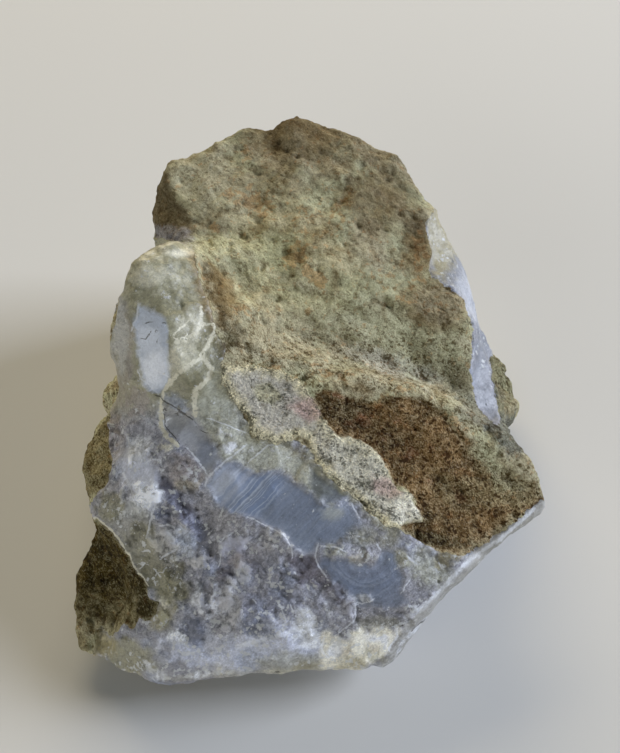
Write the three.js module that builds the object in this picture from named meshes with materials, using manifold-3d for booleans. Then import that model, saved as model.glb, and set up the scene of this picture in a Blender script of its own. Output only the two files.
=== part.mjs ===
// Rough hand specimen of blue lace agate, in millimetres, +Z up.
//
// It is one broken piece of a mineral vein. A sheet of pale blue chalcedony runs through it, and the
// weathered wall rock is still grown onto both sides of the sheet: a cap of brown and green rock on top,
// and a foot of brown rock below. Its faces are rough breaks, with no polish. The front is one large
// leaning fracture through the chalcedony, and a rounded lobe of it stands at the left. The stone rests
// on a small spot underneath that is flat.
//
// The origin is the middle of the stone's footprint, on the surface it rests on. -Y is the front.

import * as THREE from "three";
import { ConvexHull } from "three/addons/math/ConvexHull.js";
import { ImprovedNoise } from "three/addons/math/ImprovedNoise.js";
import Module from "manifold-3d";

// ---- Driving dimensions --------------------------------------------------------------------------

// The corners of the stone, group by group, as [right, back, up] in millimetres. Each group is one
// ridge, rim or face that can be followed with a finger on the stone.
const CORNERS = {
  // The rock cap.
  farRim: [
    [-29.5, 38.5, 45.5], [-24.5, 41, 46], [-17.5, 44, 48], [-11, 46.5, 48.5], [-8, 47, 48.5], [-3, 49.5, 51.5],
    [4, 48.5, 49], [12.5, 46, 46.5], [18.5, 43, 45],
  ],
  farSlope: [
    [-24, 28, 42], [-14, 31, 45], [-2, 28, 46], [12, 28, 45.5], [-15, 18, 40.5], [-3, 10, 39],
    [6.5, 8.5, 38], [16, 9, 37.5], [3, 19, 43], [-22, 35, 44.5], [0, 39, 48],
  ],
  capRightEdge: [
    [21.5, 37.5, 42.5], [23.5, 27, 41.5], [21, 19, 39], [28, 11.5, 36.5], [30.5, 4.5, 33.5], [30, -6.5, 28],
  ],
  trough: [[-17.5, 11, 42], [-12, 5.5, 37.5], [-1, 1, 33.5], [10, -2.5, 31.5], [21, -5.5, 29], [29, -9, 27]],
  ridge: [
    [-17.5, 1.5, 43], [-15.5, -5, 39.5], [-8.5, -6, 38], [-2, -6.5, 36.5], [5.5, -7.5, 35.5], [12.5, -9, 34],
    [19.5, -10, 33], [26.5, -12.5, 31], [33.5, -15.5, 28], [38, -17, 25.5], [40, -20.5, 24], [42, -25.5, 21],
  ],
  capBreak: [
    [4, -14, 32], [15.5, -18, 29], [28, -20, 26.5], [32, -26, 21.5], [21, -29, 20.5], [-2, -14, 32],
    [8.5, -24, 26.5],
  ],

  // The chalcedony.
  lobe: [
    [-21.5, 10.5, 47.5], [-25, 10, 50], [-28, 8.5, 50], [-30.5, 5, 48.5], [-32, 0.5, 45.5], [-34.5, -2, 42.5],
    [-32, -7, 36], [-24, -6.5, 44], [-29, -12, 35], [-19, -14.5, 35.5], [-26, 1, 47.5],
  ],
  recess: [
    [-34, -8, 29], [-37, -9.5, 24], [-39.5, -11, 22], [-40.5, -14, 20], [-39.5, -20, 20], [-37.5, -25.5, 20.5],
    [-32, -16, 27],
  ],
  brokenFace: [
    [-25.5, -16.5, 32.5], [-21, -21, 31], [-12, -31, 25], [-3.5, -35.5, 22.5], [5, -38.5, 20], [15, -39.5, 17],
    [-18.5, -42.5, 17], [-5, -45, 16], [3.5, -25.5, 27.5], [19, -33, 19.5], [-6, -20.5, 30.5],
    [-13, -15.5, 33], [26.5, -33, 18], [-30, -25, 26], [-24, -33, 22],
  ],
  leftRim: [[-36, -28, 20.5], [-32, -33, 19.5], [-28, -38, 17], [-25, -42, 15], [-27, -45.5, 12]],
  frontToe: [
    [-26.5, -52.5, 6], [-15, -52, 7.5], [-5, -51.5, 8], [3.5, -50.5, 7.5], [10.5, -49.5, 6], [13.5, -47.5, 5],
  ],
  rightLip: [[11.5, -48, 9.5], [20.5, -41.5, 14], [27.5, -36, 16], [34, -31, 18], [41, -26.5, 20]],
  rightUndercut: [
    [13.5, -46.5, 4.5], [20.5, -40.5, 7.5], [26.5, -35, 10], [32, -30.5, 11.5], [37, -27, 14], [42, -25, 17.5],
  ],
  rightStrip: [[27.5, 26.5, 37.5], [30.5, 20, 34], [33.5, 8.5, 27], [36, -6.5, 21]],

  // The rock foot.
  leftHollow: [
    [-38.5, -25.5, 14], [-40.5, -29, 11], [-42.5, -33.5, 8.5], [-43, -38.5, 6.5], [-42, -43.5, 4.5],
    [-35, -32, 12], [-32, -37, 9], [-35.5, -39, 7.5],
  ],
  leftToe: [[-41.2, -45.2, 4], [-39, -47, 4], [-36, -48.7, 4.4], [-33, -50, 4.8]],
  leftFoot: [[-41, 12, 11.5], [-44, 10.5, 10], [-45.5, 6.5, 8.5], [-43.5, 2.5, 7.5], [-42, 6, 2]],
  rightFoot: [[38, 22, 10.5], [41, 20, 9], [44, 18, 7.5], [46, 13.5, 6], [46, 9, 5], [43.5, 5, 3], [40, 8, 1]],

  // The sides away from the broken face.
  leftWall: [[-32, 32, 38.5], [-31, 29, 32], [-23.5, 17.5, 42], [-29, 17, 33], [-35, 22, 20], [-38, -1, 17]],
  backWall: [
    [-33, 36, 20], [-27, 44, 29], [-12, 49, 30], [3, 51.5, 27], [17, 47, 26], [26, 37, 24],
    [-14, 48.5, 14], [10, 49, 12],
  ],
  backFoot: [[-34, 31, 5], [-24, 42, 6], [-6, 45, 4], [12, 44, 5], [27, 33, 5]],
  rightWall: [[33, 22, 22], [31, 8, 14], [33, -12, 14], [36, -20, 15]],
  underside: [
    [-31, 15, 1.5], [-24, 31, 2], [-5, 38, 1.5], [16, 34, 2], [30, 20, 2], [29, 2, 2.5], [20, -15, 3],
    [8, -30, 3.5], [-9, -38, 3], [-26, -39, 1.8], [-33, -24, 2.5], [-33, -6, 2.5],
    [-36, -42, 0.8], [-29, -46, 1.2],
  ],
  restingSpot: [
    [-18, 12, -1], [-13, 22, -1], [-2, 26, -1], [10, 22, -1], [14.5, 9, -1], [11, -6, -1], [1, -14, -1],
    [-12, -13, -1], [-18, -3, -1], [-2, 5, -1],
  ],
};
const HEART = new THREE.Vector3(-2, -2, 18); // every corner can be seen from here

// The vein: how far up a point lies across the sheet, measured from the resting surface.
const VEIN_UP = new THREE.Vector3(0.2, -0.25, 0.947).normalize();
const UPPER_CONTACT = 31.5; // chalcedony below, cap rock above
const LOWER_CONTACT = 13; // foot rock below
const LOBE_MIDDLE = new THREE.Vector2(-27, -2);
const LOBE_REACH = 13; // the upper contact climbs over the lobe this far round its middle
const LOBE_RISE = 12;
const CONTACT_WOBBLE = { across: 9, high: 1.6 };
const CONTACT_WIDTH = 1.5; // on each side of a contact, one side's relief fades into the other's

// Longest triangle edge on each side of the stone: the broken front is cut finest.
const EDGE = { front: 3, cap: 3.9, back: 4.6, underside: 7 };
const FRONT_ENDS = { from: -10, to: 6 }; // the front turns into the back between these, measured along Y
// Relaxing moves each point part of the way to the middle of its neighbours, some number of times.
const EDGE_ROUNDING = { rounds: 1, share: 0.5 }; // takes the knife edge off the corners
const NORMAL_ROUNDING = { rounds: 3, share: 0.5 }; // relief is raised square to a skin this much rounder
const WEAR = { rounds: 1, share: 0.22 }; // blunts the relief's sharpest points

const ROCK_LUMPS = [{ across: 9, high: 0.9 }, { across: 4.2, high: 0.55 }];
const CHIPS = [{ across: 11, high: 0.9 }, { across: 5.5, high: 0.35 }];
const CHIP_STEP = 0.5; // how unevenly chips stand, as a share of their height
const LEDGE = 0.9; // the chalcedony stands this far proud of the softer rock
// Places on the chalcedony that broke smooth as glass, and how far round them the chips die away.
const SMOOTH_FACETS = [
  { at: [-5, -29, 25.5], reach: 9 }, { at: [4, -30, 24], reach: 9 }, { at: [12, -37, 18.5], reach: 7 },
  { at: [-27, -6, 41], reach: 8 },
];

const SLAB = 300; // what is cut off below the resting surface, wider than the stone

// ---- Skin stretched over the corners -------------------------------------------------------------

// Neighbouring corners are the ones whose directions from the heart are neighbours on a sphere.
function stretchSkin(corners, heart) {
  const directions = corners.map((corner) => corner.clone().sub(heart).normalize());
  const order = new Map(directions.map((direction, i) => [direction, i]));
  const faces = new ConvexHull().setFromPoints(directions).faces.map((face) =>
    [face.edge, face.edge.next, face.edge.next.next].map((edge) => order.get(edge.head().point)),
  );
  return { points: corners, faces };
}

function longestEdgeAt(p) {
  if (p.z < 1) return EDGE.underside;
  const behind = p.dot(VEIN_UP) > UPPER_CONTACT ? EDGE.cap : EDGE.back;
  return THREE.MathUtils.lerp(EDGE.front, behind, smoothStep(FRONT_ENDS.from, FRONT_ENDS.to, p.y));
}

// Cuts every edge longer than the limit at its middle in two, until none is.
function refine({ points, faces }, longestAt) {
  const all = points.slice();
  let todo = faces;
  for (;;) {
    const middles = new Map();
    const middleOf = (a, b) => {
      const middle = all[a].clone().lerp(all[b], 0.5);
      if (all[a].distanceTo(all[b]) <= longestAt(middle)) return -1;
      const key = Math.min(a, b) + "_" + Math.max(a, b);
      if (!middles.has(key)) {
        all.push(middle);
        middles.set(key, all.length - 1);
      }
      return middles.get(key);
    };
    todo = todo.flatMap((face) => cutFace(face, middleOf, all));
    if (!middles.size) return { points: all, faces: todo };
  }
}

function cutFace([a, b, c], middleOf, all) {
  const middles = [middleOf(a, b), middleOf(b, c), middleOf(c, a)];
  const cuts = middles.filter((m) => m >= 0).length;
  if (cuts === 0) return [[a, b, c]];
  if (cuts === 3) {
    const [ab, bc, ca] = middles;
    return [[a, ab, ca], [ab, b, bc], [ca, bc, c], [ab, bc, ca]];
  }
  // Turn the face so that its first edge is cut and its last is whole.
  const turn = [0, 1, 2].find((k) => middles[k] >= 0 && middles[(k + 2) % 3] < 0);
  const [p, q, r] = [0, 1, 2].map((k) => [a, b, c][(turn + k) % 3]);
  const pq = middles[turn];
  const qr = middles[(turn + 1) % 3];
  if (cuts === 1) return [[p, pq, r], [pq, q, r]];
  const shortWay = all[p].distanceTo(all[qr]) < all[pq].distanceTo(all[r]);
  return shortWay
    ? [[pq, q, qr], [p, pq, qr], [p, qr, r]]
    : [[pq, q, qr], [p, pq, r], [pq, qr, r]];
}

function neighboursOf({ points, faces }) {
  const neighbours = points.map(() => new Set());
  for (const [a, b, c] of faces) {
    neighbours[a].add(b).add(c);
    neighbours[b].add(a).add(c);
    neighbours[c].add(a).add(b);
  }
  return neighbours;
}

function relax(skin, { rounds, share }) {
  const neighbours = neighboursOf(skin);
  let points = skin.points;
  for (let round = 0; round < rounds; round++) {
    points = points.map((point, i) => {
      const middle = new THREE.Vector3();
      neighbours[i].forEach((n) => middle.add(points[n]));
      return point.clone().lerp(middle.divideScalar(neighbours[i].size), share);
    });
  }
  return { points, faces: skin.faces };
}

function normalsOf({ points, faces }) {
  const normals = points.map(() => new THREE.Vector3());
  for (const [a, b, c] of faces) {
    const ab = points[b].clone().sub(points[a]);
    const ac = points[c].clone().sub(points[a]);
    const across = ab.cross(ac);
    [a, b, c].forEach((i) => normals[i].add(across));
  }
  return normals.map((normal) => normal.normalize());
}

// ---- Relief --------------------------------------------------------------------------------------

const noise = new ImprovedNoise();
const noiseAt = (p, across) => noise.noise(p.x / across + across, p.y / across, p.z / across);
const smoothStep = (low, high, x) => THREE.MathUtils.smoothstep(x, low, high);

// 1 in the wall rock, 0 in the chalcedony, with a soft step at both contacts.
function rockShare(p) {
  const level = p.dot(VEIN_UP) + CONTACT_WOBBLE.high * noiseAt(p, CONTACT_WOBBLE.across);
  const fromLobe = LOBE_MIDDLE.distanceTo(new THREE.Vector2(p.x, p.y)) / LOBE_REACH;
  const upper = UPPER_CONTACT + LOBE_RISE * Math.exp(-fromLobe * fromLobe);
  const above = (contact) => smoothStep(contact - CONTACT_WIDTH, contact + CONTACT_WIDTH, level);
  return above(upper) + 1 - above(LOWER_CONTACT);
}

const lumps = (p) => ROCK_LUMPS.reduce((sum, lump) => sum + lump.high * noiseAt(p, lump.across), 0);

// A repeatable random number from 0 to 1 for a cell of a grid, by the usual sine hash.
function cellRandom(x, y, z, salt) {
  const s = Math.sin(x * 127.1 + y * 311.7 + z * 74.7 + salt * 53.3) * 43758.5453;
  return s - Math.floor(s);
}

// The seed point of the scattered grid cell that holds a point or lies next to it, whichever is nearest.
function nearestSeed(p, across) {
  const home = p.toArray().map((v) => Math.floor(v / across));
  let nearest = { far: Infinity };
  for (let n = 0; n < 27; n++) {
    const cell = home.map((v, k) => v + (Math.floor(n / 3 ** k) % 3) - 1);
    const seed = new THREE.Vector3(...cell.map((v, k) => (v + cellRandom(...cell, k)) * across));
    const far = p.distanceTo(seed);
    if (far < nearest.far) nearest = { far, cell, seed };
  }
  return nearest;
}

// Conchoidal chips: each cell is one small facet, tilted its own way and raised or sunk a little.
function chip(p, { across, high }) {
  const { cell, seed } = nearestSeed(p, across);
  const tilt = new THREE.Vector3(...[3, 4, 5].map((salt) => 2 * cellRandom(...cell, salt) - 1));
  const step = CHIP_STEP * (cellRandom(...cell, 6) - 0.5);
  return high * (tilt.dot(p.clone().sub(seed)) / across + step);
}

function chips(p) {
  const smooth = SMOOTH_FACETS.map(({ at, reach }) => p.distanceTo(new THREE.Vector3(...at)) / reach);
  const fade = smoothStep(0.5, 1.2, Math.min(...smooth));
  return fade * CHIPS.reduce((sum, size) => sum + chip(p, size), 0);
}

function addRelief(skin) {
  const normals = normalsOf(relax(skin, NORMAL_ROUNDING));
  const points = skin.points.map((p, i) => {
    const rock = rockShare(p);
    const high = rock * lumps(p) + (1 - rock) * (chips(p) + LEDGE);
    return p.clone().addScaledVector(normals[i], high);
  });
  return { points, faces: skin.faces };
}

// ---- The stone -----------------------------------------------------------------------------------

const wasm = await Module();
wasm.setup();

function toSolid({ points, faces }) {
  return new wasm.Manifold(
    new wasm.Mesh({
      numProp: 3,
      vertProperties: new Float32Array(points.flatMap((p) => p.toArray())),
      triVerts: new Uint32Array(faces.flat()),
    }),
  );
}

// A slab under the resting surface, as a triangle mesh.
function slabBelow(size) {
  const box = new THREE.BoxGeometry(size, size, size).translate(0, 0, -size / 2);
  const { position } = box.attributes;
  const points = [];
  const names = new Map();
  const indexOf = (i) => {
    const p = new THREE.Vector3().fromBufferAttribute(position, i);
    const key = p.toArray().join();
    if (!names.has(key)) {
      names.set(key, points.length);
      points.push(p);
    }
    return names.get(key);
  };
  const index = [...box.index.array].map(indexOf);
  const faces = [];
  for (let i = 0; i < index.length; i += 3) faces.push(index.slice(i, i + 3));
  return toSolid({ points, faces });
}

function toGeometry(solid) {
  const mesh = solid.getMesh();
  const geometry = new THREE.BufferGeometry();
  geometry.setAttribute("position", new THREE.BufferAttribute(mesh.vertProperties.slice(), 3));
  geometry.setIndex(new THREE.BufferAttribute(mesh.triVerts.slice(), 1));
  geometry.computeVertexNormals();
  return geometry;
}

function makeStone() {
  const corners = Object.values(CORNERS).flat().map((corner) => new THREE.Vector3(...corner));
  const skin = relax(refine(stretchSkin(corners, HEART), longestEdgeAt), EDGE_ROUNDING);
  const rough = toSolid(relax(addRelief(skin), WEAR));
  const geometry = toGeometry(rough.subtract(slabBelow(SLAB)));
  geometry.computeBoundingBox();
  const middle = geometry.boundingBox.getCenter(new THREE.Vector3());
  return geometry.translate(-middle.x, -middle.y, 0);
}

const stone = new THREE.Mesh(
  makeStone(),
  new THREE.MeshStandardMaterial({ color: 0x8d93a3, roughness: 0.6, metalness: 0 }),
);
stone.name = "agate_stone";

const specimen = new THREE.Group();
specimen.add(stone);

export default specimen;
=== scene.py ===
# %% [markdown]
# # A rough stone of blue lace agate
#
# The real thing is one broken piece of a mineral vein. A sheet of blue chalcedony runs through it and
# the wall rock is still grown onto both of its sides. This lesson dresses the stone in the finish that
# each part of it has: waxy chalcedony that broke like glass, grainy rock, and a pale mineral crust.
#
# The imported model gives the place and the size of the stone, so it is loaded first and never moved.

# %% Load the stone
import itertools
import math

import bpy
import numpy as np
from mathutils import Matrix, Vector
from mathutils.bvhtree import BVHTree


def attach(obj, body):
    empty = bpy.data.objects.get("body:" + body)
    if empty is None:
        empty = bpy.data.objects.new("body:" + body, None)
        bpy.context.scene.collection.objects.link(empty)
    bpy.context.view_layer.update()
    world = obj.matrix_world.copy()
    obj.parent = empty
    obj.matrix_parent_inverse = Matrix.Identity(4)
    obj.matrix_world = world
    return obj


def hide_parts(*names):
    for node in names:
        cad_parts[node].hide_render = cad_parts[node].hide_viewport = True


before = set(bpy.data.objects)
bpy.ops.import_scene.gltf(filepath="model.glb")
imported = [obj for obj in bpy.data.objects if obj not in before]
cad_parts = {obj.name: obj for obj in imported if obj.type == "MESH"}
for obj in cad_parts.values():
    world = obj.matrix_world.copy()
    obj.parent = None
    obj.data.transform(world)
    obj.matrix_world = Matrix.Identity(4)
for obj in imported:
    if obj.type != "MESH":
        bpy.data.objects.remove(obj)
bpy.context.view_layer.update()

scene = bpy.context.scene
MM = 0.001  # everything below is worked out in millimetres, and put into Blender in metres
cad_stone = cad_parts["agate_stone"]

# %% [markdown]
# ## The camera
#
# The stone is seen from close by and from above, as it looks when it lies on a table in front of the
# reader. The eye is 140 mm from the broken face, and looks 50 degrees down.

# %% Place the camera
FACE_MIDDLE = np.array([-0.5, -9.7, 36.0])
EYE_DISTANCE = 140.0
EYE_LIFT = math.radians(50)
LOOKING = np.array([0.0, math.cos(EYE_LIFT), -math.sin(EYE_LIFT)])
EYE = FACE_MIDDLE - EYE_DISTANCE * LOOKING
EYE_RIGHT = np.array([1.0, 0.0, 0.0])
EYE_UP = np.cross(EYE_RIGHT, LOOKING)
LENS, FILM = 38.6, 36  # millimetres, and the film is measured along its long side


def put_in_scene(name, data):
    """A new object that shows some data."""
    thing = bpy.data.objects.new(name, data)
    scene.collection.objects.link(thing)
    return thing


camera = put_in_scene("camera", bpy.data.cameras.new("camera"))
camera.data.lens = LENS
camera.data.sensor_width = FILM
camera.data.clip_start = 10 * MM
camera.location = Vector(EYE * MM)
camera.rotation_euler = Vector(LOOKING).to_track_quat("-Z", "Y").to_euler()
scene.camera = camera
print("camera at, in millimetres:", EYE.round(1))

# %% [markdown]
# ## Table and light
#
# A plain pale table, and three large soft lights as in a room: a cool window low on the right, a warm
# one behind the stone, and a pale wall in front on the left that sends a little light back. Each window
# fills the shadow of the other, so one shadow is warm and the other is cool.

# %% Lay the table and hang the lamps
TABLE_HALF = 1.5  # metres
LAMPS = [  # azimuth from the right side and elevation in degrees, metres away, size, watts and colour
    ("cool_window", 12, 24, 2.0, (0.9, 0.9), 52.5, (0.8, 0.86, 1.0)),
    ("warm_window", 100, 25, 2.5, (1.7, 1.3), 49, (1.0, 0.86, 0.6)),
    ("pale_wall", 225, 16, 2.0, (2.4, 1.0), 20, (1.0, 1.0, 1.0)),
]
scene.view_settings.view_transform = "Standard"


def fill_in(node, values):
    """Sets some inputs of a node by name or by number."""
    for socket, value in values.items():
        node.inputs[socket].default_value = value


def hang_lamp(name, azimuth, elevation, distance, size, power, colour):
    """A soft panel that faces the stone."""
    panel = bpy.data.lights.new(name, "AREA")
    panel.shape = "RECTANGLE"
    panel.size, panel.size_y = size
    panel.energy = power
    panel.color = colour
    lamp = put_in_scene(name, panel)
    around, up = math.radians(azimuth), math.radians(elevation)
    away = Vector((math.cos(up) * math.cos(around), math.cos(up) * math.sin(around), math.sin(up)))
    lamp.location = away * distance
    lamp.rotation_euler = away.to_track_quat("Z", "Y").to_euler()


board = bpy.data.meshes.new("table")
corners = [(TABLE_HALF * x, TABLE_HALF * y, 0) for x, y in ((-1, -1), (1, -1), (1, 1), (-1, 1))]
board.from_pydata(corners, [], [(0, 1, 2, 3)])
paint = bpy.data.materials.new("table_paint")
paint.use_nodes = True
fill_in(paint.node_tree.nodes["Principled BSDF"], {
    "Base Color": (0.66, 0.65, 0.62, 1), "Roughness": 0.9, "Specular IOR Level": 0.2})
board.materials.append(paint)
put_in_scene("table", board)
for lamp in LAMPS:
    hang_lamp(*lamp)
room = bpy.data.worlds.new("room")
room.use_nodes = True
fill_in(room.node_tree.nodes["Background"], {"Color": (0.88, 1.0, 0.96, 1), "Strength": 0.07})
scene.world = room
print("lamps:", [lamp[0] for lamp in LAMPS])

# %% [markdown]
# ## The skin of the stone
#
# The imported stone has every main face, ridge and hollow, in triangles a few millimetres long. A broken
# stone shows much finer forms than that. They could be sculpted by hand, but rules that move small even
# squares do the same work and can be read and changed. So the stone is copied, its skin is woven anew
# from such squares, and the marks that its making left are smoothed away.

# %% Weave a fine skin
STITCH = 0.42  # the side of a square
EASE_ROUNDS = 6


def modified(thing):
    """The mesh that an object's modifiers make. The object itself is thrown away."""
    ready = thing.evaluated_get(bpy.context.evaluated_depsgraph_get())
    mesh = bpy.data.meshes.new_from_object(ready)
    bpy.data.objects.remove(thing)
    return mesh


def read(items, what, columns=1, kind=float):
    """One property of all points, edges or sides of a mesh, as a table of numbers."""
    flat = np.empty(len(items) * columns, dtype=kind)
    items.foreach_get(what, flat)
    return flat.reshape(-1, columns) if columns > 1 else flat


raw_skin = put_in_scene("skin", cad_stone.data.copy())
weave = raw_skin.modifiers.new("weave", "REMESH")
weave.mode = "VOXEL"
weave.voxel_size = STITCH * MM
ease = raw_skin.modifiers.new("ease", "SMOOTH")
ease.factor = 0.5
ease.iterations = EASE_ROUNDS
skin = modified(raw_skin)
points = read(skin.vertices, "co", 3) / MM
normals = read(skin.vertex_normals, "vector", 3)
edges = read(skin.edges, "vertices", 2, np.int64)
print("skin:", len(points), "points,", len(skin.polygons), "squares")

# %% [markdown]
# ## Where each kind of stone is
#
# On a real specimen it is plain where the chalcedony stops and the wall rock begins. The broken front
# is drawn on a sheet that stands square to the eye, 140 mm away: each outline is a list of corners on
# that sheet, in millimetres from its middle. Every point of the skin is looked up on the sheet through
# the eye. A painted image could say the same, but an outline stays sharp and is easy to move. The sides
# that the eye can't see follow the vein instead: a flat layer that leans through the stone, with rock
# above and below it. Close to the edge of what is seen, the one passes into the other.

# %% Noise for natural things
DEAL = 256  # how many draws a noise has before it comes round again


def rise(value, low, high):
    """0 below low, 1 above high, and a smooth step between them."""
    share = np.clip((value - low) / (high - low), 0, 1)
    return share * share * (3 - 2 * share)


def mixed(first, second, share):
    """Part of the way from the first to the second, for numbers or for colours."""
    if np.ndim(first) > 1 or np.ndim(second) > 1 or np.shape(second) == (3,):
        share = np.asarray(share)[:, None]
    return first + (np.asarray(second) - first) * share


def dealt(order, cell):
    """Which draw belongs to each cell of space."""
    x, y, z = (cell & (DEAL - 1)).T
    return order[(order[(order[x] + y) & (DEAL - 1)] + z) & (DEAL - 1)]


def smooth_noise(places, across, seed):
    """Hills and dips, from about -1 to 1, that are some millimetres across."""
    dice = np.random.default_rng(seed)
    order = dice.permutation(DEAL)
    slopes = dice.normal(size=(DEAL, 3))
    slopes /= np.linalg.norm(slopes, axis=1, keepdims=True)
    scaled = places / across
    cell = np.floor(scaled).astype(int)
    inner = scaled - cell
    fade = inner**3 * (inner * (inner * 6 - 15) + 10)
    total = np.zeros(len(places))
    for corner in itertools.product((0, 1), repeat=3):
        weight = np.where(corner, fade, 1 - fade).prod(axis=1)
        total += weight * ((inner - corner) * slopes[dealt(order, cell + corner)]).sum(axis=1)
    return total * 1.7  # so that the highest hill is close to 1


def chips(places, across, seed):
    """Scattered seeds: the way from the nearest, how far that is, and its own three draws."""
    dice = np.random.default_rng(seed)
    order = dice.permutation(DEAL)
    jitter = dice.random((DEAL, 3))
    draws = dice.random((DEAL, 3))
    scaled = places / across
    cell = np.floor(scaled).astype(int)
    near = np.full(len(places), 9.0)
    away = np.zeros((len(places), 3))
    pick = np.zeros((len(places), 3))
    for beside in itertools.product((-1, 0, 1), repeat=3):
        index = dealt(order, cell + beside)
        offset = scaled - (cell + beside) - jitter[index]
        distance = (offset**2).sum(axis=1)
        closer = distance < near
        near = np.where(closer, distance, near)
        away[closer] = offset[closer]
        pick[closer] = draws[index[closer]]
    return away, np.sqrt(near), pick


def scallops(places, across, seed, bowl=0.45, tilt=0.35):
    """The skin that small curved breaks leave: hollow facets, each tilted its own way, with sharp edges."""
    away, near, pick = chips(places, across, seed)
    return bowl * near**2 + tilt * (away * (pick * 2 - 1)).sum(axis=1) + 0.25 * (pick[:, 0] - 0.5)


trial = smooth_noise(points[:2000], 5.0, 1)
print("noise on 2000 points:", trial.min().round(2), "to", trial.max().round(2))

# %% Look the skin up on the sheet
REACH = 5.0  # millimetres past the edge of view where the drawing still counts in part
FAR = 99.0


def on_sheet(places):
    away = places - EYE
    square = np.stack([away @ EYE_RIGHT, away @ EYE_UP], axis=1)
    return square * (EYE_DISTANCE / (away @ LOOKING))[:, None]


def points_in_view(places, clearance=0.8):
    """Which points the eye sees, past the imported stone's own skin."""
    packed = [vertex.co / MM for vertex in cad_stone.data.vertices]
    stone = BVHTree.FromPolygons(packed, [tuple(side.vertices) for side in cad_stone.data.polygons])
    eye = Vector(EYE)
    seen = np.zeros(len(places), dtype=bool)
    for index, point in enumerate(places):
        way = Vector(point) - eye
        hit = stone.ray_cast(eye, way)
        seen[index] = hit[0] is None or hit[3] > way.length - clearance
    return seen


def way_from(start, rounds):
    """How far each point is from the start points, along the skin, up to a number of steps."""
    one, other = edges.T
    length = np.linalg.norm(points[one] - points[other], axis=1)
    far = np.where(start, 0.0, FAR)
    for _ in range(rounds):
        np.minimum.at(far, other, far[one] + length)
        np.minimum.at(far, one, far[other] + length)
    return far


seen = points_in_view(points)
past_view = way_from(seen, rounds=int(REACH / STITCH) + 4)
drawn = past_view < REACH
drawn_share = rise(past_view, REACH, 0.5)
sheet = on_sheet(points)
print("points in view:", int(seen.sum()), "of", len(points))

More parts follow.
